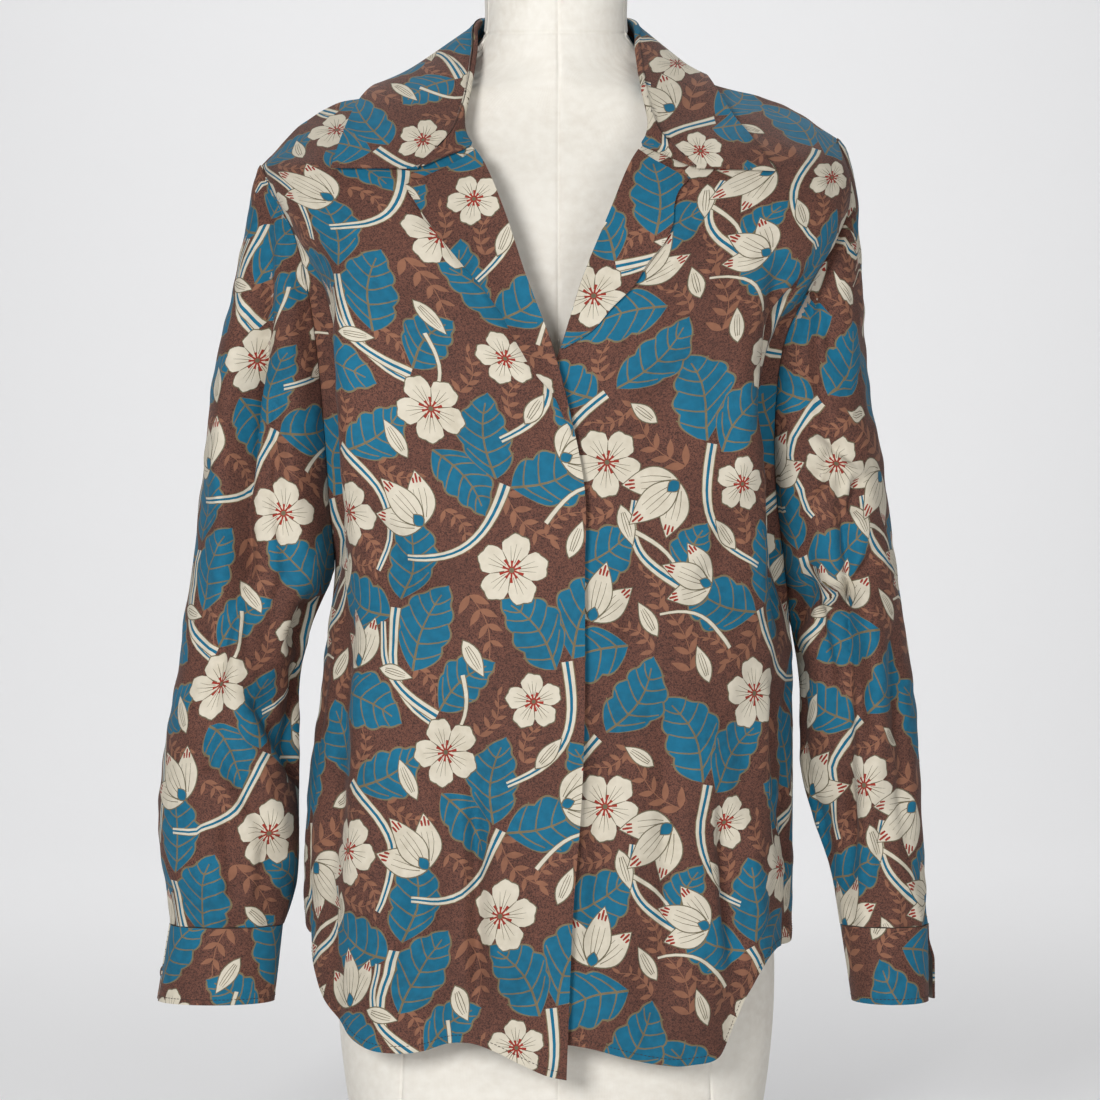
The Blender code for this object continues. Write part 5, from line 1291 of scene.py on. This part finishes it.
SLEEVE_HEAD = 0.001      # of the sleeve's top under the shoulder's


def armhole(side, level, behind):
    """The armhole seam, on the front or behind."""
    row = section(FRONTS[side], level)
    if behind:
        y = np.maximum(section(BACK_ROWS, level)[side + "_seam_y"], 0) + SEAM_GAP / 2
    else:
        y = np.minimum(row["out_y"], 0) - SEAM_GAP / 2
    return np.stack([SIDES[side] * row["out_x"], y, row["out_z"]], -1)


def sleeve_base(side, round_share, level):
    """A point of a sleeve: round_share is -1 at the front seam, 0 outermost and 1 at the back one."""
    row = section(SLEEVES[side], level)
    open_ring = level > ARMPITS[side]
    turn = np.radians(np.clip(row["turn"], 0, 180))
    seam_x = section(FRONTS[side], level)["out_x"] + SEAM_GAP
    inner = np.where(open_ring, seam_x, row["inner"])
    half = (row["outer"] - inner) / (1 - np.cos(turn))
    angle = round_share * turn
    depth = np.where(round_share < 0, row["front"], row["back"])
    x = row["outer"] - half * (1 - np.cos(angle))
    y = row["middle_y"] + depth * np.sin(angle)
    z = np.where(open_ring, section(FRONTS[side], level)["out_z"], level)
    point = np.stack([SIDES[side] * x, y, z], -1)
    seam_front, seam_back = armhole(side, level, False), armhole(side, level, True)
    seam = np.where((round_share < 0)[..., None], seam_front, seam_back)
    end_angle = np.sign(round_share) * turn
    end_y = row["middle_y"] + depth * np.sin(end_angle)
    pull = np.abs(round_share) ** 3 * np.where(open_ring, seam[..., 1] - end_y, 0.0)
    point[..., 1] += pull
    return point


def sleeve(side, round_share, level):
    """A point of a sleeve with its folds, its gathers and its creases, in front and behind."""
    out = normals(lambda s, v: sleeve_base(side, s, v), round_share, level) * SIDES[side]
    depth = folds(SLEEVE_FOLDS[side], round_share, level)
    foot = SLEEVES[side]["level"].min()
    gather = GATHER_DEPTH * (0.5 + 0.5 * np.cos(GATHERS * math.pi * (round_share + 1)))
    depth = depth + gather * rise(level, foot + GATHER_HEIGHT, foot)
    depth = depth * rise(np.abs(round_share), 1.0, 0.9)
    points = sleeve_base(side, round_share, level) - depth[..., None] * out
    before, behind = SLEEVE_CREASES[side]
    in_front = rise(round_share, 0.12, -0.12)
    depth = creases(before, points) * in_front + creases(behind, points) * (1 - in_front)
    depth = (depth + rumple(points)) * rise(level, foot, foot + 0.01) * rise(level, 0.82, 0.78)
    depth = depth * rise(np.abs(round_share), 1.0, 0.94)
    return points - depth[..., None] * out


for side in SIDES:
    def sleeve_seamed(offsets, share, level):
        """The wall of a sleeve, square to the armhole seam and outside it."""
        by_armhole = rise(np.abs(share), 0.94, 0.99) * (level > ARMPITS[side])
        square = square_to(offsets, by_armhole)
        x = square[..., 0]
        square[..., 0] = np.where(by_armhole > 0.5, SIDES[side] * np.abs(x), x)
        return square

    piece, flat, area = cut_cloth(
        "printed_sleeve_" + side, lambda s, v: sleeve(side, s, v), (-UNDERARM_SEAM, UNDERARM_SEAM),
        straight(SLEEVES[side]["level"].min()), straight(SHOULDER_TOP - SLEEVE_HEAD),
        (0.0, ARMPITS[side]), SIDES[side], SLEEVE_SHIFTS[side], sleeve_seamed,
    )
    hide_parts("sleeve_" + side)
    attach(piece, "root")


# CUFFS
# A narrow double band round each wrist. Its button end laps over the other end behind the outermost
# line of the arm, and a brown button holds it there.
CUFF_COLUMNS = ("z", "outer", "inner", "front", "back", "middle_y")
RIGHT_CUFF = ((0.1736, 0.2912, 0.2062, 0.0335, 0.0325, -0.0170),
              (0.1455, 0.2958, 0.2092, 0.0345, 0.0335, -0.0180),
              (0.1165, 0.3005, 0.2125, 0.0355, 0.0345, -0.0190))
LEFT_CUFF = ((0.1736, 0.2806, 0.2147, 0.0325, 0.0320, -0.0155),
             (0.1455, 0.2812, 0.2190, 0.0335, 0.0330, -0.0165),
             (0.1165, 0.2812, 0.2232, 0.0345, 0.0340, -0.0175))
CUFF_WALL = 0.0018
SMALL_MESH = 0.003            # between the points of a small piece
CUFF_LAP_DEGREES = 26.0
CUFF_LAP_LIFT = 0.0026
CUFF_OPENING_DEGREES = 38.0   # behind the outermost line
CUFF_FLARE = 0.0040           # the free end of the left cuff stands out
CUFFS = {"right": table(CUFF_COLUMNS, RIGHT_CUFF), "left": table(CUFF_COLUMNS, LEFT_CUFF)}
CUFF_SHIFTS = {"right": (0.14, 0.03), "left": (0.02, 0.11)}
CUFF_LAST = 2 * math.pi + math.radians(CUFF_LAP_DEGREES)
BUTTON_RADIUS = 0.0055
BUTTON_THICKNESS = 0.0016
BUTTON_HOLE_RADIUS = 0.0006
BUTTON_HOLE_APART = 0.0013
BUTTON_BROWN = "#4A2E24"
BUTTON_EDGE = "#5E3C2E"


def cuff_point(side, rows, angle, z):
    """A point of a cuff at an angle from its outermost line, positive towards the back."""
    row = {name: smooth(rows["z"][::-1], values[::-1], z) for name, values in rows.items()}
    middle_x, half = (row["outer"] + row["inner"]) / 2, (row["outer"] - row["inner"]) / 2
    depth = np.where(np.sin(angle) < 0, row["front"], row["back"])
    return np.stack([SIDES[side] * (middle_x + half * np.cos(angle)),
                     row["middle_y"] + depth * np.sin(angle), z], -1)


def cuff_surface(side, turn, z):
    """A point of the cuff's band at a turn round it from its covered end."""
    rows = CUFFS[side]
    angle = math.radians(CUFF_OPENING_DEGREES) - turn
    point = cuff_point(side, rows, angle, z)
    step = 0.01
    across = cuff_point(side, rows, angle + step, z) - cuff_point(side, rows, angle - step, z)
    out = np.stack([across[..., 1], -across[..., 0], 0 * point[..., 2]], -1) * SIDES[side]
    out /= np.linalg.norm(out, axis=-1, keepdims=True)
    lift = CUFF_LAP_LIFT * rise(turn, 2 * math.pi - 0.5, 2 * math.pi - 0.02)
    if side == "left":
        low = rise(z, rows["z"][0] - 0.01, (rows["z"][0] + rows["z"][-1]) / 2)
        lift = lift + CUFF_FLARE * low * rise(turn, 2 * math.pi, CUFF_LAST)
    return point + out * lift[..., None], out


def button_brown_plastic():
    """Cast polyester with a faint marble, polished: a soft highlight on its rim."""
    made, tree, shader = material("button_brown_polyester", {"Roughness": 0.3, "IOR": 1.55})
    place = add(tree, "ShaderNodeTexCoord", {}).outputs["Object"]
    swirl = add(tree, "ShaderNodeTexNoise", {"Vector": place, "Scale": 420.0, "Distortion": 1.5})
    colour = add(tree, "ShaderNodeMix",
                 {0: swirl.outputs["Fac"], 6: linear(BUTTON_BROWN), 7: linear(BUTTON_EDGE)},
                 data_type="RGBA")
    tree.links.new(colour.outputs[2], shader.inputs["Base Color"])
    return made


polyester = button_brown_plastic()


def sewn_button(name, centre, axis):
    """A two-hole button with a raised rim, its flat back on a centre, and thread in its holes."""
    made = bmesh.new()
    radius, thick = BUTTON_RADIUS, BUTTON_THICKNESS
    profile = ((0.0, 0.62), (0.62, 0.62), (0.74, 0.92), (0.88, 1.0), (1.0, 0.72), (1.0, 0.25),
               (0.90, 0.0), (0.0, 0.0))
    sides = 40
    rings = []
    for share, high in profile:
        if share == 0:
            rings.append([made.verts.new((0, 0, high * thick))])
            continue
        rings.append([made.verts.new((share * radius * math.cos(2 * math.pi * k / sides),
                                      share * radius * math.sin(2 * math.pi * k / sides),
                                      high * thick)) for k in range(sides)])
    for inner, outer in zip(rings, rings[1:]):
        for k in range(sides):
            n = (k + 1) % sides
            ring = [inner[k % len(inner)], outer[k % len(outer)], outer[n % len(outer)],
                    inner[n % len(inner)]]
            made.faces.new(dict.fromkeys(ring))
    for x in (-BUTTON_HOLE_APART, BUTTON_HOLE_APART):
        place = Matrix.Translation((x, 0, 0.64 * thick))
        bmesh.ops.create_uvsphere(made, u_segments=10, v_segments=6, radius=BUTTON_HOLE_RADIUS,
                                  matrix=place)
    turn = Vector(axis).to_track_quat("Z", "Y").to_matrix().to_4x4()
    bmesh.ops.transform(made, matrix=turn, verts=made.verts)
    bmesh.ops.translate(made, vec=Vector(centre), verts=made.verts)
    for face in made.faces:
        face.smooth = True
    bmesh.ops.recalc_face_normals(made, faces=made.faces)
    return as_object(name, made, polyester)


for side in SIDES:
    top_z, foot_z = CUFFS[side]["z"][0] - SEAM_GAP, CUFFS[side]["z"][-1]
    piece, flat, area = cut_cloth(
        "printed_cuff_" + side, lambda turn, z: cuff_surface(side, turn, z)[0], (0.0, CUFF_LAST),
        straight(foot_z), straight(top_z), (math.pi, foot_z), -SIDES[side], CUFF_SHIFTS[side],
        spacing=SMALL_MESH, wall=CUFF_WALL,
    )
    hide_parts("cuff_" + side)
    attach(piece, "root")
    turn = np.array([CUFF_LAST * (1 - 1.0 / 30)])
    spot, out = cuff_surface(side, turn, np.array([top_z + (foot_z - top_z) * 2 / 3]))
    button = sewn_button("cuff_button_sewn_" + side, spot[0] + out[0] * 4 * SEAM_GAP, out[0])
    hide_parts("cuff_button_" + side)
    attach(button, "root")


# BUTTON STRIP
# A narrow strip with the buttonholes, sewn behind the edge of the right front, and the five buttons
# on the left front that it hides.
FLY_WIDTH = 0.034
FLY_SHARE = 0.006        # of the front, from its edge to the strip's
FRONT_ROUND = 0.25       # about the width of a front, measured round it
BUTTON_SHARE = 0.043     # of the left front, from its edge to the buttons
FLY_TOP = 0.540
FLY_FOOT_ABOVE_HEM = 0.004
FLY_WALL = 0.0010
BUTTON_HEIGHTS = (0.515, 0.425, 0.335, 0.245, 0.155)
PANEL_WALL = 0.0015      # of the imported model's fronts


def strip_surface(inset, level):
    """A point of the strip, behind the right front."""
    out = normals(lambda s, v: front("right", s, v), inset + 0.003, level) * SIDES["right"]
    return front("right", inset, level) - out * (PANEL_WALL + 1.5 * SEAM_GAP)


piece, flat, area = cut_cloth(
    "button_strip", strip_surface, (FLY_SHARE, FLY_SHARE + FLY_WIDTH / FRONT_ROUND),
    lambda s: along_hem(RIGHT_HEM, s) + FLY_FOOT_ABOVE_HEM, straight(FLY_TOP),
    (FLY_SHARE, 0.3), SIDES["right"], (0.0, 0.07), spacing=WIDE_MESH, wall=FLY_WALL,
)
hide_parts("fly_strip")
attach(piece, "root")
for number, height in enumerate(BUTTON_HEIGHTS, 1):
    share, level = np.array([BUTTON_SHARE]), np.array([height])
    spot = front("left", share, level)[0]
    out = normals(lambda s, v: front("left", s, v), share, level)[0]
    button = sewn_button(f"front_button_{number}", spot + out * 2 * SEAM_GAP, out)
    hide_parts(f"fly_button_{number}")
    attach(button, "root")


# LAPELS
# Above the top button each front edge is turned back on itself, so its wrong side would show, but it
# is faced with the same printed cloth. The right one stands a little off the front.
RIGHT_LAPEL = (
    (0.538, -0.0160), (0.547, -0.0085), (0.570, 0.0030), (0.580, 0.0120), (0.605, 0.0280),
    (0.633, 0.0440), (0.662, 0.0668), (0.693, 0.0905), (0.731, 0.1110),
)
LEFT_LAPEL = (
    (0.602, 0.0060), (0.611, 0.0210), (0.6335, 0.0415), (0.6485, 0.0555), (0.667, 0.0668),
    (0.683, 0.0800), (0.695, 0.0850), (0.707, 0.0858), (0.722, 0.0905), (0.7315, 0.0978),
)
LAPEL_COLUMNS = ("level", "edge_x")
LAPEL_NECK_LEVEL = 0.750     # of the inner end of a lapel's top edge
LAPEL_STAND = {"right": 0.0045, "left": 0.0012}   # of the free edge off the front
LAPEL_ROLL = (0.0022, 0.18)  # its height over the front, and the share of the lapel that it takes
LAPELS = {"right": table(LAPEL_COLUMNS, RIGHT_LAPEL), "left": table(LAPEL_COLUMNS, LEFT_LAPEL)}
LAPEL_SHIFTS = {"right": (0.05, 0.19), "left": (0.12, 0.02)}


def share_of(side, x, level):
    """The share of the way round a front at which it is that far from the middle."""
    row = section(FRONTS[side], level)
    across = np.clip((x - row["in_x"]) / (row["out_x"] - row["in_x"]), 0, 1)
    along = (1 - across ** row["round"]) ** (1 / row["round"])
    return np.arctan2(across, along) * 2 / math.pi


def lapel_surface(side, across, up):
    """A point of the lapel: across from the roll line to its free edge, and up from its foot."""
    edge = LAPELS[side]
    foot, tip = edge["level"][0], edge["level"][-1]
    edge_level = foot + (tip - foot) * up
    neck_level = foot + (LAPEL_NECK_LEVEL - foot) * up
    level = neck_level + (edge_level - neck_level) * across
    in_x = section(FRONTS[side], neck_level)["in_x"] + 0.0004
    edge_x = np.maximum(smooth(edge["level"], edge["edge_x"], edge_level), in_x + 0.002)
    share = share_of(side, in_x + (edge_x - in_x) * across, level)
    out = normals(lambda s, v: front(side, s, v), np.maximum(share, 0.003), level) * SIDES[side]
    roll = LAPEL_ROLL[0] * np.exp(-((across / LAPEL_ROLL[1]) ** 2)) * rise(up, 0, 0.25)
    stand = LAPEL_STAND[side] * across**1.5 * rise(up, 0, 0.25) * rise(up, 1.0, 0.8)
    return front(side, share, level) + out * (LAYER_GAP + PANEL_WALL + roll + stand)[..., None]


for side in SIDES:
    piece, flat, area = cut_cloth(
        "printed_lapel_" + side, lambda s, v: lapel_surface(side, s, v), (0.0, 1.0),
        straight(0.0), straight(1.0), (0.0, 0.5), SIDES[side], LAPEL_SHIFTS[side], spacing=SMALL_MESH,
    )
    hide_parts("lapel_" + side)
    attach(piece, "root")


# COLLAR
# A wide flat collar of two layers of the printed cloth: it rises from the neckline, turns over and
# falls on the shoulders and on the tops of the lapels.
COLLAR_COLUMNS = ("neck_level", "neck_share", "r_x", "r_y", "r_z")
COLLAR = (
    (0.745, 1.00, 0.1010, -0.0935, 0.7365),
    (0.757, 1.00, 0.0790, -0.0860, 0.7590),
    (0.775, 1.00, 0.0700, -0.0690, 0.7810),
    (0.797, 1.00, 0.0650, -0.0490, 0.8060),
    (0.820, 1.00, 0.0622, -0.0250, 0.8320),
    (0.838, 1.00, 0.0607, 0.0010, 0.8545),
    (0.838, 0.66, 0.0450, 0.0450, 0.8650),
    (0.838, 0.33, 0.0235, 0.0590, 0.8690),
    (0.838, 0.00, 0.0000, 0.0635, 0.8700),
)
COLLAR_EDGE_RIGHT = (
    (0.1662, -0.0850, 0.7384), (0.1602, -0.0700, 0.7600), (0.1527, -0.0500, 0.7830),
    (0.1440, -0.0260, 0.8010), (0.1340, 0.0000, 0.8110), (0.1230, 0.0280, 0.8070),
    (0.0960, 0.0680, 0.7960), (0.0520, 0.0860, 0.7960), (0.0000, 0.0920, 0.7980),
)
COLLAR_EDGE_LEFT = (
    (0.1614, -0.0850, 0.7355), (0.1455, -0.0680, 0.7600), (0.1300, -0.0480, 0.7850),
    (0.1190, -0.0250, 0.8070), (0.1130, 0.0000, 0.8180), (0.1090, 0.0280, 0.8110),
    (0.0910, 0.0680, 0.7980), (0.0520, 0.0860, 0.7960), (0.0000, 0.0920, 0.7980),
)
COLLAR_FOLD_RADIUS = 0.0032
COLLAR_CLEARANCE = 0.0048   # of the collar's fall over the panels and the lapels
COLLAR_AHEAD = 1.25 * COLLAR_CLEARANCE   # the same, straight forwards over a slanting front
COLLAR_WALL = 0.0014
COLLAR_STEPS = 3         # between two stations
COLLAR_SHIFT = (0.06, 0.13)


def body_tree():
    """The outer face of the fronts and the back, to lay the collar on."""
    verts, faces = [], []
    share = np.linspace(0, 1, 41)
    level = np.linspace(0.50, SHOULDER_TOP, 61)
    grid_share, grid_level = np.meshgrid(share, level)
    sheets = [front(side, grid_share, grid_level) for side in SIDES]
    sheets.append(back(*np.meshgrid(np.linspace(-1, 1, 81), level)))
    for sheet in sheets:
        start = len(verts)
        rows, columns = sheet.shape[:2]
        verts += [Vector(p) for p in sheet.reshape(-1, 3)]
        for i in range(rows - 1):
            for j in range(columns - 1):
                a = start + i * columns + j
                faces.append((a, a + 1, a + columns + 1, a + columns))
    return BVHTree.FromPolygons(verts, faces)


def laid(points, tree, clearance):
    """Points moved towards -Y until each is that far in front of the panels."""
    moved = []
    for point in points.reshape(-1, 3):
        hit = tree.ray_cast(Vector((point[0], -0.5, point[2])), Vector((0, 1, 0)))[0]
        if hit is not None and hit.y < 0:
            point = np.array((point[0], min(point[1], hit.y - clearance), point[2]))
        moved.append(point)
    return np.array(moved).reshape(points.shape)


def collar_stations():
    """The collar's neckline, fold and free edge, from its right end round to its left end."""
    rows = table(COLLAR_COLUMNS, COLLAR)
    steps = len(COLLAR) - 1
    at = np.linspace(0, steps, steps * COLLAR_STEPS + 1)
    knots = np.arange(steps + 1.0)

    def half(x, y, z):
        return np.stack([smooth(knots, np.array(c, float), at) for c in (x, y, z)], -1)

    def neckline(side):
        level = np.interp(at, knots, rows["neck_level"])
        share = np.interp(at, knots, rows["neck_share"]) * NECK_SHARE
        before = front(side, np.zeros_like(at), level)
        behind = back(share * SIDES[side], np.full_like(at, SHOULDER_TOP))
        return np.where((at < 5)[:, None], before, behind)

    fold = half(rows["r_x"], rows["r_y"], rows["r_z"])
    mirror = np.array([-1, 1, 1])

    def both(right, left):
        return np.concatenate([right, left[-2::-1]])

    return (
        both(neckline("right"), neckline("left")),
        both(fold * mirror, fold),
        both(half(*np.array(COLLAR_EDGE_RIGHT).T) * mirror, half(*np.array(COLLAR_EDGE_LEFT).T)),
    )


def collar_grid(tree):
    """Rows of the collar's points, from its right end round to its left one."""
    seam, fold, edge = collar_stations()
    fall = edge - fold
    outwards = fall - fall * np.array([0, 0, 1])
    outwards /= np.linalg.norm(outwards, axis=-1, keepdims=True)
    up = np.array([0, 0, 1.0])
    ends = np.minimum(np.arange(len(fold)), np.arange(len(fold))[::-1])[:, None] / COLLAR_STEPS
    grown = np.clip(ends, 0, 1)
    radius = COLLAR_FOLD_RADIUS * (0.65 + 0.35 * grown)
    near_end = ends[:, 0] < 1.99
    fold[near_end] = laid(fold[near_end], tree, COLLAR_AHEAD)
    arc = []
    for share in (0, 1 / 3, 2 / 3, 1):
        turn = np.radians((60 + 120 * grown) * (1 - share))
        arc.append(fold + radius * (np.cos(turn) * outwards + np.sin(turn) * up))
    rooted = seam - outwards * 3 * SEAM_GAP + up * 4 * SEAM_GAP
    profile = [grown * rooted + (1 - grown) * (arc[0] - 0.004 * outwards)] + arc
    start = profile[-1]
    for share in (0.25, 0.5, 0.75, 1.0):
        bow = 0.006 * math.sin(math.pi * share) * outwards * np.clip(ends, 0, 1)
        profile.append(start + (edge - start) * share + bow)
    points = np.stack(profile, 1)
    points[near_end, 5:] = laid(points[near_end, 5:], tree, COLLAR_AHEAD)
    for i in np.flatnonzero(near_end):
        points[i, :2] = laid(points[i, :2], tree, COLLAR_AHEAD * (1 - grown[i, 0]))
    points[:, 5:] = kept_off(points[:, 5:], tree, COLLAR_CLEARANCE, 1)
    return points


def even_surface(grid):
    """A smooth surface through a grid of points, over 0 to 1 along and across it."""
    rows, columns = np.linspace(0, 1, grid.shape[0]), np.linspace(0, 1, grid.shape[1])

    def place(along, across):
        along, across = np.broadcast_arrays(along, across)
        i = np.clip(np.searchsorted(rows, along) - 1, 0, len(rows) - 2)
        found = []
        slopes = np.gradient(grid, rows, axis=0)
        width = rows[1]
        s = np.clip((along - rows[i]) / width, 0, 1)
        weights = ((1 + 2 * s) * (1 - s) ** 2, s * (1 - s) ** 2 * width,
                   s * s * (3 - 2 * s), s * s * (s - 1) * width)
        for j in range(len(columns)):
            found.append(sum(w[..., None] * part for w, part in zip(
                weights, (grid[i, j], slopes[i, j], grid[i + 1, j], slopes[i + 1, j]))))
        found = np.stack(found)
        tilts = np.gradient(found, columns, axis=0)
        j = np.clip(np.searchsorted(columns, across) - 1, 0, len(columns) - 2)
        wide = columns[1]
        t = np.clip((across - columns[j]) / wide, 0, 1)[..., None]

        def pick(values, index):
            return np.take_along_axis(values, index[None, ..., None], 0)[0]

        return (pick(found, j) * (1 + 2 * t) * (1 - t) ** 2 + pick(tilts, j) * wide * t * (1 - t) ** 2
                + pick(found, j + 1) * t * t * (3 - 2 * t)
                + pick(tilts, j + 1) * wide * t * t * (t - 1))

    return place


collar_place = even_surface(collar_grid(body_tree()))
piece, flat, area = cut_cloth(
    "printed_collar", collar_place, (0.0, 1.0), straight(0.0), straight(1.0),
    (0.5, 0.5), 1.0, COLLAR_SHIFT, spacing=SMALL_MESH, wall=COLLAR_WALL,
)
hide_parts("collar")
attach(piece, "root")


# STITCHING
# A lockstitch in dark thread holds the turned hems about 5 mm from their edges, and the free edges of
# the cuffs. Each short stitch sinks a little into the cloth.
THREAD_DARK = "#3B2C27"
THREAD_SHADE = "#2A201D"
STITCH_PITCH = 0.0030
STITCH_LENGTH = 0.0023
STITCH_THICKNESS = 0.0006       # thicker than the real 0.25 mm, so that it shows
HEM_STITCH = 0.0052             # above the edge
CUFF_STITCH = 0.004


def thread_cotton():
    """Spun thread, matt, a little lighter and darker along its length."""
    made, tree, shader = material("sewing_thread_spun", {"Roughness": 0.8})
    place = add(tree, "ShaderNodeTexCoord", {}).outputs["Object"]
    uneven = add(tree, "ShaderNodeTexNoise", {"Vector": place, "Scale": 700.0, "Detail": 1.0})
    ink = add(tree, "ShaderNodeMix", {0: uneven.outputs["Fac"], 6: linear(THREAD_DARK),
                                      7: linear(THREAD_SHADE)}, data_type="RGBA")
    tree.links.new(ink.outputs[2], shader.inputs["Base Color"])
    return made


def stitch_tree():
    """Lays a stitch at each even step of a line, turned along it."""
    tree = bpy.data.node_groups.new("stitch_row", "GeometryNodeTree")
    for name, kind in (("Geometry", "Geometry"), ("Pitch", "Float"), ("Length", "Float"),
                       ("Thickness", "Float"), ("Material", "Material")):
        tree.interface.new_socket(name, in_out="INPUT", socket_type="NodeSocket" + kind)
    tree.interface.new_socket("Geometry", in_out="OUTPUT", socket_type="NodeSocketGeometry")
    given = add(tree, "NodeGroupInput", {}).outputs
    line = add(tree, "GeometryNodeMeshToCurve", {"Mesh": given["Geometry"]})
    spots = add(tree, "GeometryNodeCurveToPoints",
                {"Curve": line.outputs["Curve"], "Length": given["Pitch"]}, mode="LENGTH")
    stitch = add(tree, "GeometryNodeMeshUVSphere", {"Segments": 6, "Rings": 4, "Radius": 0.5})
    size = add(tree, "ShaderNodeCombineXYZ",
               {"X": given["Thickness"], "Y": given["Thickness"], "Z": given["Length"]})
    row = add(tree, "GeometryNodeInstanceOnPoints",
              {"Points": spots.outputs["Points"], "Instance": stitch.outputs["Mesh"],
               "Rotation": spots.outputs["Rotation"], "Scale": size.outputs["Vector"]})
    real = add(tree, "GeometryNodeRealizeInstances", {"Geometry": row.outputs["Instances"]})
    dyed = add(tree, "GeometryNodeSetMaterial",
               {"Geometry": real.outputs["Geometry"], "Material": given["Material"]})
    add(tree, "NodeGroupOutput", {"Geometry": dyed.outputs["Geometry"]})
    return tree


def stitched(name, points):
    """A row of stitches along a line of points."""
    line = bpy.data.meshes.new(name + "_line")
    line.from_pydata(points.tolist(), [(i, i + 1) for i in range(len(points) - 1)], [])
    piece = linked(name, line)
    modifier = piece.modifiers.new("stitches", "NODES")
    modifier.node_group = STITCH_TREE
    given = {"Pitch": STITCH_PITCH, "Length": STITCH_LENGTH, "Thickness": STITCH_THICKNESS,
             "Material": THREAD}
    for socket in STITCH_TREE.interface.items_tree:
        if socket.in_out == "INPUT" and socket.name in given:
            modifier[socket.identifier] = given[socket.name]
    ready = piece.evaluated_get(bpy.context.evaluated_depsgraph_get())
    mesh = bpy.data.meshes.new_from_object(ready)
    piece.modifiers.remove(modifier)
    piece.data = mesh
    mesh.name = name
    mesh.polygons.foreach_set("use_smooth", np.ones(len(mesh.polygons), bool))
    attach(piece, "root")
    return piece


THREAD = thread_cotton()
STITCH_TREE = stitch_tree()
for side in SIDES:
    share = np.linspace(0.004, 0.985, 400)
    level = along_hem(HEMS[side], share) + HEM_STITCH
    stitched("hem_stitches_" + side, front(side, share, level, True))
    turn = np.linspace(0.02, CUFF_LAST - 0.02, 400)
    foot_z = np.full(400, CUFFS[side]["z"][-1] + CUFF_STITCH)
    stitched("cuff_stitches_" + side, cuff_surface(side, turn, foot_z)[0])
share = np.linspace(-0.985, 0.985, 900)
stitched("hem_stitches_back", back(share, along_hem(BACK_HEM, share) + HEM_STITCH, True))


# STUDIO
# A pale seamless paper sweep. A soft key light stands on the left in front, a broader and weaker one
# on the right in front, one washes the wall, and one hangs above and behind the form.
SWEEP = "#EDEDEE"
MIDDLE = (0, 0, 0.5)
LIGHTS = (
    # name, place, what it faces, width and height, power
    ("key_soft", (-1.1, -2.9, 1.05), MIDDLE, (0.8, 0.8), 64),
    ("fill_soft", (1.5, -2.8, 0.3), MIDDLE, (1.6, 1.6), 35),
    ("wall_soft", (0, 2.6, 3.3), (0.2, 4.5, 0.2), (4.0, 1.2), 55),
    ("top_soft", (0, 1.2, 2.8), (0, 1.4, 0), (2.4, 2.4), 34),
)
AIR_LIGHT = 0.17         # from all round
CAMERA_PLACE = (-0.00456, -2.8, 0.456)
PHOTO_PIXELS = 1100
PIXEL_SIZE = 0.00076     # of the photograph at the middle of the form, in metres
SENSOR = 36.0


def sweep():
    """The floor and the wall behind as one curved sheet."""
    made = bmesh.new()
    start, wall, radius, half, high = -6.0, 4.8, 2.0, 8.0, 6.0
    profile = [(start, 0.0)]
    for k in range(17):
        angle = k / 16 * math.pi / 2
        profile.append((wall - radius + radius * math.sin(angle), radius - radius * math.cos(angle)))
    profile.append((wall, high))
    rows = [[made.verts.new((x, y, z)) for x in (-half, half)] for y, z in profile]
    for low, top in zip(rows, rows[1:]):
        made.faces.new((low[0], low[1], top[1], top[0])).smooth = True
    paper, _, _ = material("studio_paper", {"Base Color": linear(SWEEP), "Roughness": 0.9})
    return as_object("studio_sweep", made, paper)


sweep()


def soft_light(name, place, aim, size, power):
    """A rectangle of soft light that faces a point."""
    light = bpy.data.lights.new(name, "AREA")
    light.shape = "RECTANGLE"
    light.size, light.size_y = size
    light.energy = power
    made = linked(name, light)
    made.location = place
    made.rotation_euler = (Vector(aim) - Vector(place)).to_track_quat("-Z", "Y").to_euler()


for light in LIGHTS:
    soft_light(*light)

world = bpy.data.worlds.new("studio_air")
world.use_nodes = True
world.node_tree.nodes["Background"].inputs["Color"].default_value = (1, 1, 1, 1)
world.node_tree.nodes["Background"].inputs["Strength"].default_value = AIR_LIGHT
bpy.context.scene.world = world
bpy.context.scene.view_settings.view_transform = "Standard"

camera_data = bpy.data.cameras.new("camera")
camera_data.sensor_width = SENSOR
camera_data.lens = SENSOR * abs(CAMERA_PLACE[1]) / (PHOTO_PIXELS * PIXEL_SIZE)
camera = linked("camera", camera_data)
camera.location = CAMERA_PLACE
camera.rotation_euler = (math.pi / 2, 0, 0)
bpy.context.scene.camera = camera
